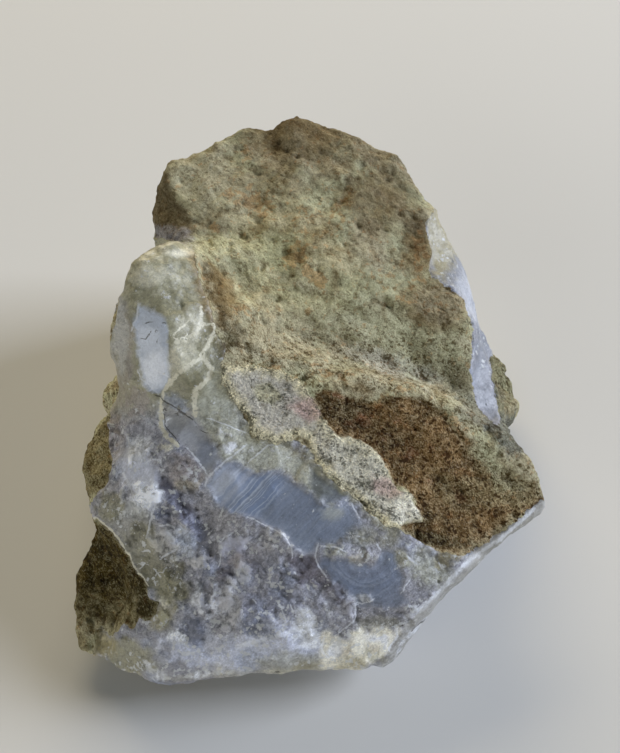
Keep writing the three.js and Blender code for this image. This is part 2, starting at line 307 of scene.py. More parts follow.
# %% Outlines on the sheet
OUTLINES = {
    "front": [
        (-33, 13.3), (-33.3, 20.2), (-27.8, 24.4), (-24.3, 23.7), (-20.3, 22.7), (-19.4, 17.4),
        (-17.5, 12.8), (-16, 7), (-14.6, 5.3), (-15.5, 1.3), (-13.5, -3.6), (-10.8, -8.2), (-10.1, -10.5),
        (-6.1, -11.4), (-2.6, -11), (0.2, -12.8), (3, -17.4), (8.9, -22.1), (11.8, -25.3), (17, -27.3),
        (22.6, -30.5), (26.4, -31.2), (31.1, -28.6), (37.3, -24.6), (41, -21.4), (46, -20), (46, -58),
        (-46, -58), (-46, -44.5), (-40.5, -44.2), (-38, -45.6), (-36.2, -43.7), (-34, -45), (-32.5, -42.9),
        (-30.6, -44), (-29.4, -41.9), (-27.6, -42.4), (-26.7, -41), (-26.2, -39.1), (-28, -38.1),
        (-28.3, -36.2), (-31.1, -31.5), (-34, -27.3), (-37.2, -24.2), (-38.5, -23.2), (-37, -20.2),
        (-35.4, -18.7), (-34.5, -16.6), (-34.4, -14.1), (-34.7, -11.9), (-34.2, -6.7), (-35.8, -0.6),
    ],
    "crust": [
        (-15.1, 1.8), (-10.9, 2), (-6.1, 1.5), (-1.9, -0.4), (0.5, -3.9), (2.8, -8.1), (4.9, -10.2),
        (8.2, -11), (11.1, -12.4), (13, -14.8), (13.7, -17.8), (15.1, -19.5), (17.4, -20.4), (18.8, -23.4),
        (19.1, -24.9), (17.2, -25.1), (15.1, -26.5), (11.8, -25.1), (8.9, -22), (4.7, -18.3), (1.7, -15.9),
        (0.3, -14.7), (0.2, -12.8), (-0.9, -10.7), (-2.8, -10.5), (-5, -11.7), (-9.7, -10.5), (-10.6, -8.1),
        (-12.3, -5.3), (-13.9, -3.4), (-15.8, 0.4),
    ],
    "island": [
        (-9.5, -1.5), (-7.3, -1.1), (-5.2, -2.3), (-4.9, -4.1), (-6.6, -5.1), (-9, -4.4), (-10.1, -3),
    ],
    "lens": [
        (0.3, -3.9), (2.1, -2.2), (5.4, -2.9), (9.4, -4.4), (11.5, -4.4), (15.5, -3.2), (19.6, -3.9),
        (23.6, -6.3), (27.3, -11), (29.7, -14.7), (35.6, -17.8), (39.2, -18.7), (41.5, -21.3),
        (39.9, -23.5), (33.5, -26.5), (28.5, -29.9), (26.4, -31), (22.6, -30.5), (17, -27.2), (14.9, -25.8),
        (19.3, -24.9), (18.1, -21.3), (16, -19.2), (14.4, -18.5), (14.2, -16.8), (11.6, -13.6),
        (9.4, -11.4), (5, -9.8), (3.3, -9.1), (2.1, -7.6), (1.4, -5.5),
    ],
    "window": [
        (-18.2, -18.7), (-15.3, -15.5), (-13.2, -14.8), (-9.5, -16.8), (-5, -16.4), (-1.4, -19.2),
        (0.5, -20.1), (2.3, -22.3), (6.1, -22), (7.5, -22.7), (8.7, -24.6), (6.6, -27.3), (4.7, -29.1),
        (1.4, -29.3), (0.9, -31), (-0.9, -31), (-3.6, -29.3), (-5, -27), (-7.6, -26), (-9.9, -24.6),
        (-13.7, -23.7), (-15.6, -22.3),
    ],
    "second": [
        (1.8, -31.2), (6.5, -31.6), (10.9, -32.7), (12.4, -30.2), (14.8, -29.8), (15.4, -32.6),
        (16.6, -34.9), (16, -36.9), (17.2, -39.2), (15, -40.4), (12, -40), (7.9, -40.2), (7.7, -38.5),
        (6.1, -37.3), (4.2, -36.1), (2.8, -34.5), (1.4, -33.1),
    ],
    "lobe_window": [
        (-29.9, 12.4), (-30.6, 8), (-29.9, 3.3), (-29.5, 0.6), (-28.7, -1.7), (-26.1, -3.2), (-24.5, -1.1),
        (-24.4, 2.7), (-24.7, 8.6), (-25.5, 10.7), (-27.4, 11.8),
    ],
    "hollow": [
        (-38.2, -23.5), (-35.9, -25.6), (-34, -27.3), (-31.1, -31.5), (-28.3, -36.2), (-28, -38.1),
        (-26.2, -39.1), (-26.7, -41), (-27.6, -42.4), (-29.4, -41.9), (-30.6, -44), (-32.5, -42.9),
        (-34, -45), (-36.2, -43.7), (-38, -45.6), (-40.5, -44.2), (-46, -44.5), (-46, -31), (-40, -24),
    ],
    "notch": [
        (-38.2, -11.2), (-35.6, -7.4), (-34.2, -6.7), (-34.7, -11.9), (-34.4, -14.1), (-34.5, -16.6),
        (-35.4, -18.7), (-37, -20.2), (-39.9, -21.4), (-41.7, -16.2), (-40.8, -11),
    ],
    "flank": [
        (19.8, 26.3), (20.8, 21.1), (20.3, 18.1), (26.4, 13.5), (28.3, 8.1), (27.6, 1.5), (28.6, -4.8),
        (32.5, -8.8), (33, -7.2), (31.6, -1.5), (31.1, 3), (34, 9), (34, 20), (28, 31), (23, 31),
    ],
    "lip": [
        (40.8, -21.3), (33, -27.2), (28.5, -30.1), (23.6, -35.5), (16.5, -43.1), (14.8, -46.6),
        (10.8, -51.3), (13.9, -52.8), (24, -41.8), (34.7, -32.6), (44.4, -23.3),
    ],
    "slate": [
        (-25.3, -4.8), (-22, -6.5), (-20.3, -7), (-18.4, -9.3), (-16.8, -11.9), (-15.6, -14.5),
        (-17.9, -17.6), (-21.2, -12.2), (-22.6, -11.7), (-25, -9.1),
    ],
    "olive": [
        (-20, -4.1), (-16.3, 2.9), (-14.6, -1), (-12.7, -5.1), (-11.5, -7.6), (-8.3, -11), (-3.5, -11.5),
        (0, -14.8), (2.6, -17.6), (5.2, -20.6), (2.3, -22.3), (-1.4, -19.2), (-5, -16.4), (-9.5, -16.8),
        (-13.2, -14.8), (-15.3, -15.5), (-16.8, -12.1), (-20.1, -7.2),
    ],
    "facet": [
        (-25.2, 38.5), (-24.1, 33.6), (-22, 29.6), (-20, 27.3), (-19.4, 24.9), (-22.6, 23), (-24.3, 22.3),
        (-30, 23.2), (-30, 36.7),
    ],
    "toe": [
        (1.9, -44.2), (6.1, -45.7), (8.7, -43.5), (15.1, -44), (14.8, -45.7), (13, -48.4), (10.4, -49.9),
        (4.3, -52.6), (1.7, -49.9), (2.1, -47.5),
    ],
    "grey_lens": [
        (0.2, -16), (1.6, -16), (3.3, -18), (5, -18.4), (6.7, -20.6), (4.6, -22), (2.3, -22.2),
        (0.8, -20.6), (-0.3, -18.6),
    ],
    "shoulder": [
        (-36.6, -24.2), (-31.2, -21.4), (-27.8, -23.2), (-26.4, -25.8), (-26, -31.5), (-22.9, -40.4),
        (-24, -44.5), (-29, -44.5), (-26.2, -39.1), (-28.3, -36.2), (-31.1, -31.5), (-34, -27.3),
    ],
}
print("outlines:", len(OUTLINES), "with corners:", sum(map(len, OUTLINES.values())))

# %% Measure each point against the outlines
def way_to_side(x, y, x0, y0, x1, y1):
    """How far places are from the straight line between two corners."""
    along = ((x - x0) * (x1 - x0) + (y - y0) * (y1 - y0)) / ((x1 - x0) ** 2 + (y1 - y0) ** 2)
    along = np.clip(along, 0, 1)
    return np.hypot(x - x0 - along * (x1 - x0), y - y0 - along * (y1 - y0))


def inside(places, outline):
    """How far each place on the sheet lies inside an outline, in millimetres. Outside, it is below 0."""
    corners = np.array(outline, dtype=float)
    nearest = np.full(len(places), np.inf)
    within = np.zeros(len(places), dtype=bool)
    x, y = places.T
    for (x0, y0), (x1, y1) in zip(corners, np.roll(corners, -1, axis=0)):
        nearest = np.minimum(nearest, way_to_side(x, y, x0, y0, x1, y1))
        if y0 != y1:
            crosses = (y0 > y) != (y1 > y)
            within ^= crosses & (x < x0 + (y - y0) / (y1 - y0) * (x1 - x0))
    return np.where(within, nearest, -nearest)


def near_line(places, line):
    """How far each place on the sheet is from an open line, in millimetres."""
    return np.min([way_to_side(*places.T, *start, *end) for start, end in zip(line, line[1:])], axis=0)


def wavy(places, across, depth, seed):
    """The same places, moved a little to and fro, so that an outline drawn over them isn't straight."""
    shift = [depth * smooth_noise(points, across, seed + side) for side in range(2)]
    return places + np.stack(shift, axis=1)


DEEPEST = 9.0  # further than this in or out, a zone isn't measured
wavy_sheet = wavy(wavy(sheet, 1.6, 0.35, 21), 0.7, 0.15, 25)
zones = {}
for name, outline in OUTLINES.items():
    zones[name] = np.full(len(points), -DEEPEST)
    zones[name][drawn] = np.clip(inside(wavy_sheet[drawn], outline), -DEEPEST, DEEPEST)
lumpy_edge = 0.6 * smooth_noise(points, 1.4, 36) + 0.35 * smooth_noise(points, 0.7, 37)
zones["crust"] = zones["crust"] + lumpy_edge * rise(zones["crust"], -3, -1)  # grains make a crooked edge


def in_zone(name, low, high):
    """0 at low and 1 at high millimetres inside an outline, and 0 where the eye can't see."""
    return rise(zones[name], low, high) * drawn_share


print("in each zone, points:", {name: int((depth > 0).sum()) for name, depth in zones.items()})

# %% The vein where the eye can't see
VEIN_UP = np.array([0.2, -0.25, 0.947])
VEIN_UP = VEIN_UP / np.linalg.norm(VEIN_UP)
VEIN_FOOT = 13.0  # millimetres along VEIN_UP, where the rock below stops
VEIN_HEAD = 31.5  # and where the rock above begins
HUMP_X, HUMP_Y, HUMP_REACH, HUMP_HEIGHT = -27.0, -2.0, 13.0, 12.0  # the vein is thicker here
VEIN_CLIP = 3.0

layer = points @ VEIN_UP
layer = layer + 1.3 * smooth_noise(points, 17, 31) + 0.45 * smooth_noise(points, 5, 32)
hump_way = np.hypot(points[:, 0] - HUMP_X, points[:, 1] - HUMP_Y) / HUMP_REACH
hump = HUMP_HEIGHT * rise(hump_way, 1, 0)
hidden_vein = np.minimum(layer - VEIN_FOOT, VEIN_HEAD + hump - layer)
hidden_vein = hidden_vein + 0.35 * smooth_noise(points, 1.4, 33)
hollow_depth = np.maximum(zones["hollow"], zones["notch"])
seen_vein = np.minimum(zones["front"], -zones["crust"])
seen_vein = np.minimum(seen_vein, -hollow_depth)
seen_vein = np.maximum(seen_vein, np.maximum(zones["flank"], zones["lip"]))
# the rock foot stands out at the left, below the edge of the chalcedony
foot_knob = rise(points[:, 2], 17.5, 15.5) * rise(points[:, 0], -37.5, -39)
seen_vein = mixed(seen_vein, -VEIN_CLIP, foot_knob)
clipped = [np.clip(distance, -VEIN_CLIP, VEIN_CLIP) for distance in (hidden_vein, seen_vein)]
vein = mixed(*clipped, drawn_share)
is_vein = rise(vein, -0.25, 0.25)
print("share of the skin that is chalcedony:", is_vein.mean().round(2))

# %% [markdown]
# ## Relief
#
# Chalcedony breaks like thick glass: hollow scallops that meet in sharp edges, thin plates that stand
# on each other like broken slate, clear pockets between them, and a few faces that stay smooth. The rock
# around it is lumpy and grainy. A mineral crust sits proud of both. A bump in the material could imitate
# all of it, but would leave the outline and the shadows smooth. So this is real shape: each point of the
# skin moves along its own normal.

# %% Say how bruised the chalcedony is
BRUISED = {  # as a share, where 1 is broken all over and 0 is smooth
    "olive": 0.75, "slate": 0.12, "window": 0.12, "second": 0.3, "grey_lens": 0.25,
    "flank": 0.35, "lip": 0.35, "toe": 0.5, "shoulder": 0.5,
}
shards = chips(points, 1.2, 95)[2]
broken_sheet = wavy_sheet + 1.1 * (shards[:, :2] - 0.5)  # each small shard is moved its own way


def way_out(x, y, long, wide, turn=0.0, places=wavy_sheet):
    """How far each point is from the middle of an oval on the sheet: 1 on its edge."""
    lean = math.radians(turn)
    right, up = places[:, 0] - x, places[:, 1] - y
    along = (right * math.cos(lean) + up * math.sin(lean)) / long
    across = (up * math.cos(lean) - right * math.sin(lean)) / wide
    return np.hypot(along, across)


lobe = rise(sheet[:, 1], -9, -3) * rise(sheet[:, 0], -13, -18) * drawn_share  # rounded, at the left
left_shoulder = rise(way_out(-29.4, -16.6, 2.8, 5.4, 30), 1.3, 0.8) * drawn_share
toe_line = rise(sheet[:, 1], -44, -46.5) * drawn_share
flaky = 0.95
for name, share in BRUISED.items():
    flaky = mixed(flaky, share, in_zone(name, -0.3, 0.6))
flaky = mixed(mixed(mixed(flaky, 0.5, toe_line), 0.4, lobe), 0.25, left_shoulder)
flaky = mixed(flaky, 0.05, in_zone("lobe_window", -0.2, 0.6))
flaky = mixed(flaky, 0.5, 1 - drawn_share)
print("bruised, on average:", flaky.mean().round(2))

# %% Lay out the plates and the clear pockets between them
PLATES = [  # how high, where on the sheet, half its length and width, and its turn in degrees
    (0.48, -13.2, -29.6, 2.3, 2.9), (0.42, -18.3, -31.5, 0.9, 0.8), (0.42, -6.5, -28.3, 1.5, 1, 60),
    (0.36, -8.8, -30, 0.6, 0.8), (0.42, -5, -31.9, 0.6, 0.9), (0.48, -19.2, -31.9, 1.9, 0.9, 5),
    (0.42, -12, -34.3, 1.8, 2.4), (0.36, -13.9, -40, 1.9, 4), (0.48, -19.1, -39.2, 0.9, 2.5),
    (0.42, -16.7, -39.6, 0.8, 3.4), (0.42, -25.2, -28.3, 2.5, 2.2), (0.36, -28.8, -21.9, 2.7, 1.8, 20),
    (0.36, 4.2, -30.4, 2.2, 0.8), (0.36, 9.5, -38.5, 1.8, 0.9), (0.42, 5.3, -40.8, 2.2, 1.8),
    (0.36, -6, -48.6, 0.9, 0.8), (0.42, -25.2, -39.1, 0.9, 1.3), (0.42, -25.7, -41.8, 1.1, 1),
    (0.36, -7.7, -46, 0.9, 0.7), (0.3, 16.9, -42.4, 1.2, 0.6, 20), (0.36, -30.9, -14.4, 0.8, 1.4, -30),
    (0.42, -28.8, -20.4, 2.4, 3, 30), (0.36, -29.8, -13.6, 1.8, 1.8), (0.42, -8.8, -34.6, 0.7, 0.9),
    (0.42, 0.8, -35.7, 0.8, 0.9), (0.36, -1.4, -36, 1.4, 0.6), (0.36, -7.6, -36.2, 0.5, 1.1),
    (0.36, 2.5, -40.2, 0.6, 1), (0.3, -22, -16.2, 1.6, 1.2), (-0.48, -24.6, -19.2, 2, 1.1, -50),
    (-0.48, -21.6, -22.6, 2.4, 1.3, -55), (-0.42, -19.1, -26.4, 2.6, 1, -60),
    (-0.42, -17.2, -31, 2.2, 0.9, -70), (-0.48, -25.2, -23.9, 1.4, 1.7), (-0.48, -15.4, -34.3, 1.5, 1.2),
    (-0.42, -17.9, -27.6, 1.2, 2.4), (-0.36, -9.3, -27.8, 1.2, 1.1), (-0.48, -1.2, -32.6, 1.8, 1.2),
    (-0.42, 4.3, -37.2, 2.4, 1.3, -25), (-0.42, -29.4, -26.6, 1.3, 1.5), (-0.36, -30.6, -29, 1.2, 0.8),
    (-0.42, -20.2, -43.9, 2, 2.4), (-0.36, -4.5, -38, 2.8, 1.4, -20), (-0.36, -9.5, -43.5, 3, 1.2, 10),
    (-0.3, -29.3, -13.9, 1.2, 0.8), (-0.36, -2, -34.6, 0.8, 0.9), (-0.3, 8.8, -41.5, 1.4, 1.2),
    (-0.36, -18, -36, 0.9, 1.6), (-0.3, 14, -41.6, 2, 0.9),
]
flake = 0.45 * smooth_noise(points, 2.4, 81) + 0.45 * smooth_noise(points, 1.1, 82) - 0.04
flake = flake * (0.15 + 0.85 * flaky)
for height, *oval in PLATES:
    flake = flake + height * rise(way_out(*oval, places=broken_sheet), 1.2, 0.75) * drawn_share
print("share that is plates:", (flake > 0.3).mean().round(2), "pockets:", (flake < -0.3).mean().round(2))

# %% Raise the rock
ALONG_LAYERS = np.array([math.cos(math.radians(-38)), math.sin(math.radians(-38)), 0])


def drawn_out(places, stretch):
    """The same places squeezed along the layers of the rock, so that a noise on them is drawn out."""
    return places - np.outer(places @ ALONG_LAYERS, ALONG_LAYERS) * (1 - 1 / stretch)


lumps = 0.55 * smooth_noise(points, 6.5, 41) + 0.3 * smooth_noise(drawn_out(points, 2.0), 2.8, 42)
_, grain_near, grain_pick = chips(drawn_out(points, 1.5), 1.15, 43)
grains = 0.34 * (0.5 - grain_near) * (0.5 + grain_pick[:, 0]) + 0.16 * smooth_noise(points, 0.85, 44)
pits = -0.5 * rise(smooth_noise(points, 2.1, 45) + 0.35 * smooth_noise(points, 5, 46), 0.42, 0.8)
rock_relief = lumps + grains + pits
print("rock relief, mm:", rock_relief.min().round(2), "to", rock_relief.max().round(2))

# %% Chip the chalcedony
bruised = 0.08 + 0.92 * flaky
long_way = points + 1.2 * np.stack([smooth_noise(points, 4, 50 + side) for side in range(3)], axis=1)
broad = scallops(long_way, 5.2, 51)
middling = scallops(long_way, 2.4, 52)
small = scallops(points, 1.2, 53)
patchy = rise(smooth_noise(points, 5, 54), -0.5, 0.5)
flaking = (0.55 + 0.45 * patchy) * bruised
steps = 0.3 * rise(flake, 0.24, 0.4) - 0.32 * rise(-flake, 0.28, 0.6)
vein_relief = 0.9 * broad * (0.3 + 0.7 * bruised) + 0.6 * middling * flaking + 0.34 * small * flaking + steps
vein_relief = vein_relief - vein_relief.mean()
print("chalcedony relief, mm:", vein_relief.min().round(2), "to", vein_relief.max().round(2))

# %% Build up the crust, and sink the lens and the windows
crust_share = rise(zones["crust"], -0.3, 0.5)
_, blob_near, _ = chips(points, 1.3, 61)
crust_blobs = 0.7 * (0.55 - blob_near) + 0.3 * smooth_noise(points, 0.8, 62)
crust_relief = 0.4 + 0.55 * crust_blobs
relief = mixed(rock_relief, vein_relief, is_vein)
relief = relief - 0.45 * rise(zones["lens"], -0.4, 0.8)
relief = relief - 0.12 * rise(zones["window"], -0.2, 1.2) - 0.15 * rise(zones["lobe_window"], -0.2, 0.9)
relief = mixed(relief, crust_relief, crust_share)
relief = relief + 0.25 * rise(vein, 1.4, 0.0) * is_vein  # the vein's rim stands a little proud
standing = rise(points[:, 2], 0.2, 2.0)  # the flat spot that the stone rests on stays flat
moved = points + normals * (relief * standing)[:, None]
moved[:, 2] = np.maximum(moved[:, 2], 0)
skin.vertices.foreach_set("co", (moved * MM).ravel())
skin.update()
print("moved by up to", np.abs(relief).max().round(2), "mm")

# %% [markdown]
# ## Colour
#
# The stone's own colours change slowly over a few millimetres. An image wrapped around the stone could
# hold them, but it would need a seam. So they are laid on point by point: first a ground for the rock,
# the chalcedony and the crust, then dabs where the stone is stained, bleached or clearer. The shader adds
# everything that is finer than a point of the skin.

# %% A small palette
def tone(red, green, blue):
    """A screen colour, 0 to 255, as the share of light that it sends back."""
    part = np.array([red, green, blue]) / 255
    return np.where(part <= 0.04045, part / 12.92, ((part + 0.055) / 1.055) ** 2.4)


TONES = {name: tone(*screen) for name, screen in {
    "beige": (180, 171, 140), "sage": (183, 181, 146), "bark": (134, 113, 74), "rust": (142, 92, 62),
    "umber": (84, 69, 40), "lens": (144, 114, 72), "peat": (80, 66, 20), "bone": (194, 188, 158),
    "sky": (198, 206, 220), "slate": (126, 135, 150), "lilac": (194, 197, 208), "violet": (151, 151, 158),
    "frost": (208, 210, 213), "cream": (224, 219, 196), "olive": (176, 176, 158), "smoke": (148, 144, 113),
    "white": (238, 241, 246), "pink": (192, 162, 152), "mauve": (150, 140, 134), "moss": (112, 108, 78),
    "haze": (151, 149, 152), "plate": (174, 172, 168), "pit": (106, 101, 110), "ink": (114, 118, 138),
    "blue": (154, 163, 182), "ice": (208, 212, 226), "glass": (130, 126, 98), "sand": (164, 154, 116),
    "earth": (62, 52, 18), "steel": (154, 155, 156), "ivory": (245, 240, 221), "dusk": (131, 134, 141),
    "lead": (98, 103, 103), "denim": (107, 115, 130), "fawn": (150, 147, 139),
}.items()}
print("tones:", len(TONES))

# %% Lay the grounds
GREYED, WARMED = np.array([0.84, 0.77, 0.62]), np.array([1, 0.95, 0.8])
veil, cloud, wisp, speck = [
    smooth_noise(points, across, 71 + index) for index, across in enumerate((7.0, 3.0, 1.4, 0.8))]

rock_tint = mixed(TONES["beige"], TONES["sage"], rise(veil + 0.5 * cloud, -0.5, 0.5))
rock_tint = mixed(rock_tint, TONES["bark"], 0.6 * rise(cloud + 0.6 * wisp - 0.3 * veil, 0.0, 0.8))
rock_tint = mixed(rock_tint, TONES["umber"], 0.4 * rise(wisp + 0.6 * speck, 0.3, 0.85))
vein_tint = mixed(TONES["violet"], TONES["haze"], 0.6 * rise(veil + 0.5 * cloud, 0.0, 0.6))
vein_tint = mixed(vein_tint, TONES["blue"], 0.5 * rise(cloud - veil, 0.1, 0.9))
vein_tint = mixed(vein_tint, TONES["sky"], 0.6 * (1 - drawn_share))
crust_tint = mixed(TONES["frost"] * GREYED, TONES["cream"] * WARMED, rise(zones["crust"], 2.2, 0.6))
print("grounds laid on", len(points), "points")

# %% Dab the rock
def dab(tint, colour, strength, x, y, long, wide, turn=0.0, where=1.0, soft=0.75, places=wavy_sheet):
    """A spot on the sheet, with an uneven edge."""
    way = way_out(x, y, long, wide, turn, places) + 0.25 * cloud + 0.3 * wisp + 0.2 * speck
    share = rise(way, 1 + 0.45 * soft, 1 - 0.5 * soft) * strength * drawn_share * where
    return mixed(tint, TONES[colour], share)


def dabs(tint, spots, **manner):
    """Many spots, each over the ones before it."""
    for spot in spots:
        tint = dab(tint, *spot, **manner)
    return tint


ROCK_DABS = [  # the colour, how strong, where on the sheet, half its length and width, and its turn
    ("beige", 0.6, -19, 35, 7, 5), ("bark", 0.8, -2, 42, 9, 4), ("bark", 0.4, -8, 33, 8, 3),
    ("bark", 0.6, 6.5, 31, 1.4, 2.4), ("umber", 0.6, 7.5, 33.5, 1.4, 1.2), ("bone", 0.4, -3, 40, 2, 3),
    ("umber", 0.7, 18.2, 24.6, 2.2, 5), ("bark", 0.7, 19, 21, 3, 4), ("bark", 0.8, 21.7, 12.4, 6, 4.5),
    ("umber", 0.4, 22, 12, 4, 3), ("bark", 0.5, 12, 30, 5, 6), ("sage", 0.8, -12, 20, 7, 3, -35),
    ("sage", 0.8, 3.5, 11.5, 11, 4, -30), ("sage", 0.7, 19, 5, 10, 3.5, -28),
    ("moss", 0.5, 24, 1, 7, 3, -30), ("beige", 0.7, -7, 8.5, 9, 5, -15),
    # painted shade: the umber and peat dabs near (-15, 9), (-13, 7) and (-14, 5) darken the crevices where
    # the rock meets the top left of the crust
    ("umber", 0.7, -13.3, 7.3, 1.8, 2.2), ("beige", 0.5, 8, 3, 8, 3, -20),
    ("umber", 0.8, -15.3, 9.2, 1, 1.3), ("peat", 0.8, -13.8, 5.3, 1.1, 0.8),
    ("glass", 0.6, -13.6, 7, 1.5, 0.8), ("moss", 0.7, 34, -9, 5, 3, -30), ("moss", 0.8, 33.5, 1.5, 3, 8),
    ("sage", 0.5, -22, 31, 4, 5), ("moss", 0.5, -2.5, 15.5, 4, 1, -25), ("moss", 0.4, 5, 16.5, 3, 1.2, -10),
    ("umber", 0.5, 0, 41, 12, 5, -10), ("umber", 0.45, 13, 33, 6, 7, -40),
    ("bone", 0.75, 0.5, 18.3, 3.6, 2.8, -30), ("bone", 0.35, -8, 29, 8, 4, -20),
    ("bone", 0.3, -16, 32, 7, 4, -30), ("bone", 0.35, -12, 19, 5, 2.6, -35),
    ("bone", 0.3, 3, 11.5, 9, 2.6, -30), ("bark", 0.9, -15.4, 14.8, 2.4, 5, 20),
    ("umber", 0.55, -16.4, 15.6, 1.4, 5, 18), ("moss", 0.6, 30, -6.5, 4, 2, -30),
    ("umber", 0.3, 29, -7, 4, 1.6, -30), ("bone", 0.35, 22, 12.5, 5, 3, -30), ("bone", 0.4, -19, 34, 5, 4),
    ("frost", 0.2, 15, 1.6, 8, 2, -20), ("frost", 0.12, 29.5, -6.4, 5, 2.4, -35),
    ("lead", 0.55, 34.6, -10, 4.5, 3, -40), ("lead", 0.35, 31, -2.5, 3, 1.5, -30),
]
SUNNY = np.array([1.22, 1.2, 1.1])  # the middle of the cap is made lighter by this much
rock_tint = dabs(rock_tint, ROCK_DABS)
sunny = rise(way_out(-4, 20, 13, 9.5, -25) + 0.3 * cloud, 1.3, 0.6) * drawn_share
rock_tint = rock_tint * mixed(np.ones(3), SUNNY, sunny)
print("rock dabs:", len(ROCK_DABS))

# %% Stain the rock with rust
RUST_SPOTS = [  # how strong, then the oval
    (1, -10.5, 30.5, 5, 2.4, -15), (1.2, -2.5, 21, 2.4, 2.8, -50), (1.3, 0.8, 17.4, 2.8, 1.3, -35),
    (1, -16.3, 26, 1.2, 0.9, -40), (0.9, -11, 39.5, 0.8, 1.6), (0.8, 6.3, 30.2, 1.2, 2),
    (0.75, -12.3, 11.4, 2.2, 0.9, -20), (0.35, -18.8, 17.5, 1, 3, 20), (0.8, 19, 22, 1.4, 5),
    (0.35, 20, 14, 5, 4), (0.8, 25, -8.5, 4, 1.6, -45), (0.9, 4, -4.5, 2.8, 1.2, -20),
    (0.7, 20, -12, 3, 1.4, -45), (0.8, 13.5, -4.4, 3, 1), (0.6, 26, -17, 2.5, 1.5, 30),
    (0.9, 4, -6, 3, 2, -20), (0.9, 11, -7.5, 4, 1.6, -35), (0.8, 12, -15, 2, 1.4, 20),
    (0.9, 15.5, -13.5, 2, 3, 10), (0.5, -6, 1, 5, 1.6, -10), (0.6, 3, 0.5, 6, 1.5, -10),
    (0.5, 15, -1.5, 4, 1.2, -20), (0.7, 17, -8, 3, 2, -30), (0.6, 10, -8, 3, 1.5, -40), (0.3, 2, 27, 6, 5),
    (0.4, 13, 18, 4, 3),
]
rust = np.zeros(len(points))
for strength, *oval in RUST_SPOTS:
    way = way_out(*oval) + 0.3 * cloud + 0.3 * wisp
    rust = np.maximum(rust, strength * rise(way, 1.3, 0.5) * drawn_share)
rust = rust * (1 - 0.7 * in_zone("lens", -0.3, 0.3))
rust = rust * (1 - 0.8 * rise(hollow_depth, -0.3, 0.5) * drawn_share)
print("rust spots:", len(RUST_SPOTS))

# %% Lighten the ridges of the rock
RIDGE_LINE = [
    (-14.8, 4.6), (-8.3, 3.2), (-1.7, 2.3), (5.2, 0.4), (12.2, -1.1), (19.1, -2.7), (26, -5.8), (33, -9.6),
    (38.9, -15.9),
]
CAP_LINE = [(-25.2, 37.1), (-19.1, 29.6), (-12.2, 22), (-6.9, 18.1), (-1.7, 15.9), (6.1, 13.8)]
ridge_edge = rise(near_line(wavy_sheet, RIDGE_LINE) + 0.5 * wisp, 1.4, 0.2) * drawn_share
rock_tint = mixed(rock_tint, TONES["bone"], 0.4 * ridge_edge * rise(sheet[:, 0], 30, 20))
cap_edge = rise(near_line(wavy_sheet, CAP_LINE) + 0.4 * wisp, 1.0, 0.1) * drawn_share
rock_tint = mixed(rock_tint, TONES["bone"], 0.4 * cap_edge)
print("ridges, share of the skin:", (ridge_edge + cap_edge > 0.5).mean().round(3))

# %% Colour the brown lens and the hollows
LENS_DABS = [
    ("umber", 0.85, 6, -6, 5.5, 2.6, -20), ("moss", 0.8, 34.5, -15.5, 6, 3.8, -45),
    ("sand", 0.5, 36, -20, 4, 3, -40), ("earth", 0.8, 21, -28.2, 6, 1.3, -10),
    ("umber", 0.4, 15, -12, 5, 3, -40), ("umber", 0.35, 22, -25, 7, 3, -25),
    ("moss", 0.35, 25, -20, 5, 2.4, -35), ("earth", 0.6, 19.5, -25, 1.6, 1.2),
    ("sand", 0.4, 30, -20, 4, 2, -40),
]
LENS_RUST = [
    ("rust", 0.49, 5.2, -3.4, 1.4, 0.7, -20), ("rust", 0.49, 9.2, -7.5, 1.1, 0.8),
    ("rust", 0.42, 15.1, -7.5, 1.3, 0.6, -30), ("rust", 0.49, 17.5, -13.4, 1, 1.6),
    ("rust", 0.35, 6.6, -7.9, 0.9, 0.5), ("rust", 0.35, 12.6, -10.6, 0.8, 0.7, 30),
    ("rust", 0.35, 20.8, -18.4, 0.9, 0.6), ("rust", 0.28, 26.4, -21.5, 1.2, 0.7, -40),
]
HOLLOW_DABS = [
    ("bone", 0.8, -37.5, -44, 3.4, 1.7), ("sand", 0.6, -38, -14, 4, 7), ("earth", 0.9, -28.5, -39.5, 2, 3),
]
lens_tint = mixed(TONES["lens"], TONES["umber"], 0.6 * rise(cloud + wisp, -0.4, 0.9))
lens_tint = dabs(dabs(lens_tint, LENS_DABS), LENS_RUST, soft=0.4, places=broken_sheet)
lens_edge = mixed(0.4, 2.2, rise(sheet[:, 0], 20, 27))  # towards the right, the lens fades into the rock
lens_share = rise(zones["lens"] + 0.5 * lens_edge * wisp, -0.6 * lens_edge, lens_edge)
rock_tint = mixed(rock_tint, lens_tint, lens_share)
# painted shade: the hollow and the notch are recesses, painted dark peat and earth, partly their own dark
# rock and partly the shade that lies in them
hollow_tint_and_shade = mixed(TONES["peat"], TONES["earth"], rise(cloud + wisp, -0.6, 0.6))
sandy = 0.7 * rise(sheet[:, 1] + 1.5 * wisp, -35, -41) * rise(wisp, -0.7, 0.2)
hollow_tint_and_shade = dabs(mixed(hollow_tint_and_shade, TONES["sand"], sandy), HOLLOW_DABS)
rock_tint = mixed(rock_tint, hollow_tint_and_shade, rise(hollow_depth, -0.3, 0.5) * drawn_share)
# painted shade: the facet of the cap that faces left is painted dark umber, partly its own dark rock and
# partly the shade it lies in
rock_tint = mixed(rock_tint, TONES["umber"] * 1.1, 0.85 * in_zone("facet", -0.5, 0.8))
rock_tint = dab(rock_tint, "haze", 0.7, -24.5, 24.3, 4, 2)
print("lens dabs:", len(LENS_DABS) + len(LENS_RUST))

# %% Say how gritty the rock is
grit = mixed(1.0, 0.75, rise(sheet[:, 1], 8, 16) * drawn_share)
grit = mixed(grit, 1.35, rise(sheet[:, 1], 9, 4) * rise(sheet[:, 1], -45, -35) * drawn_share)
grit = mixed(grit, 2.1, in_zone("lens", -0.3, 0.3))
print("grit:", grit.min().round(2), "to", grit.max().round(2))

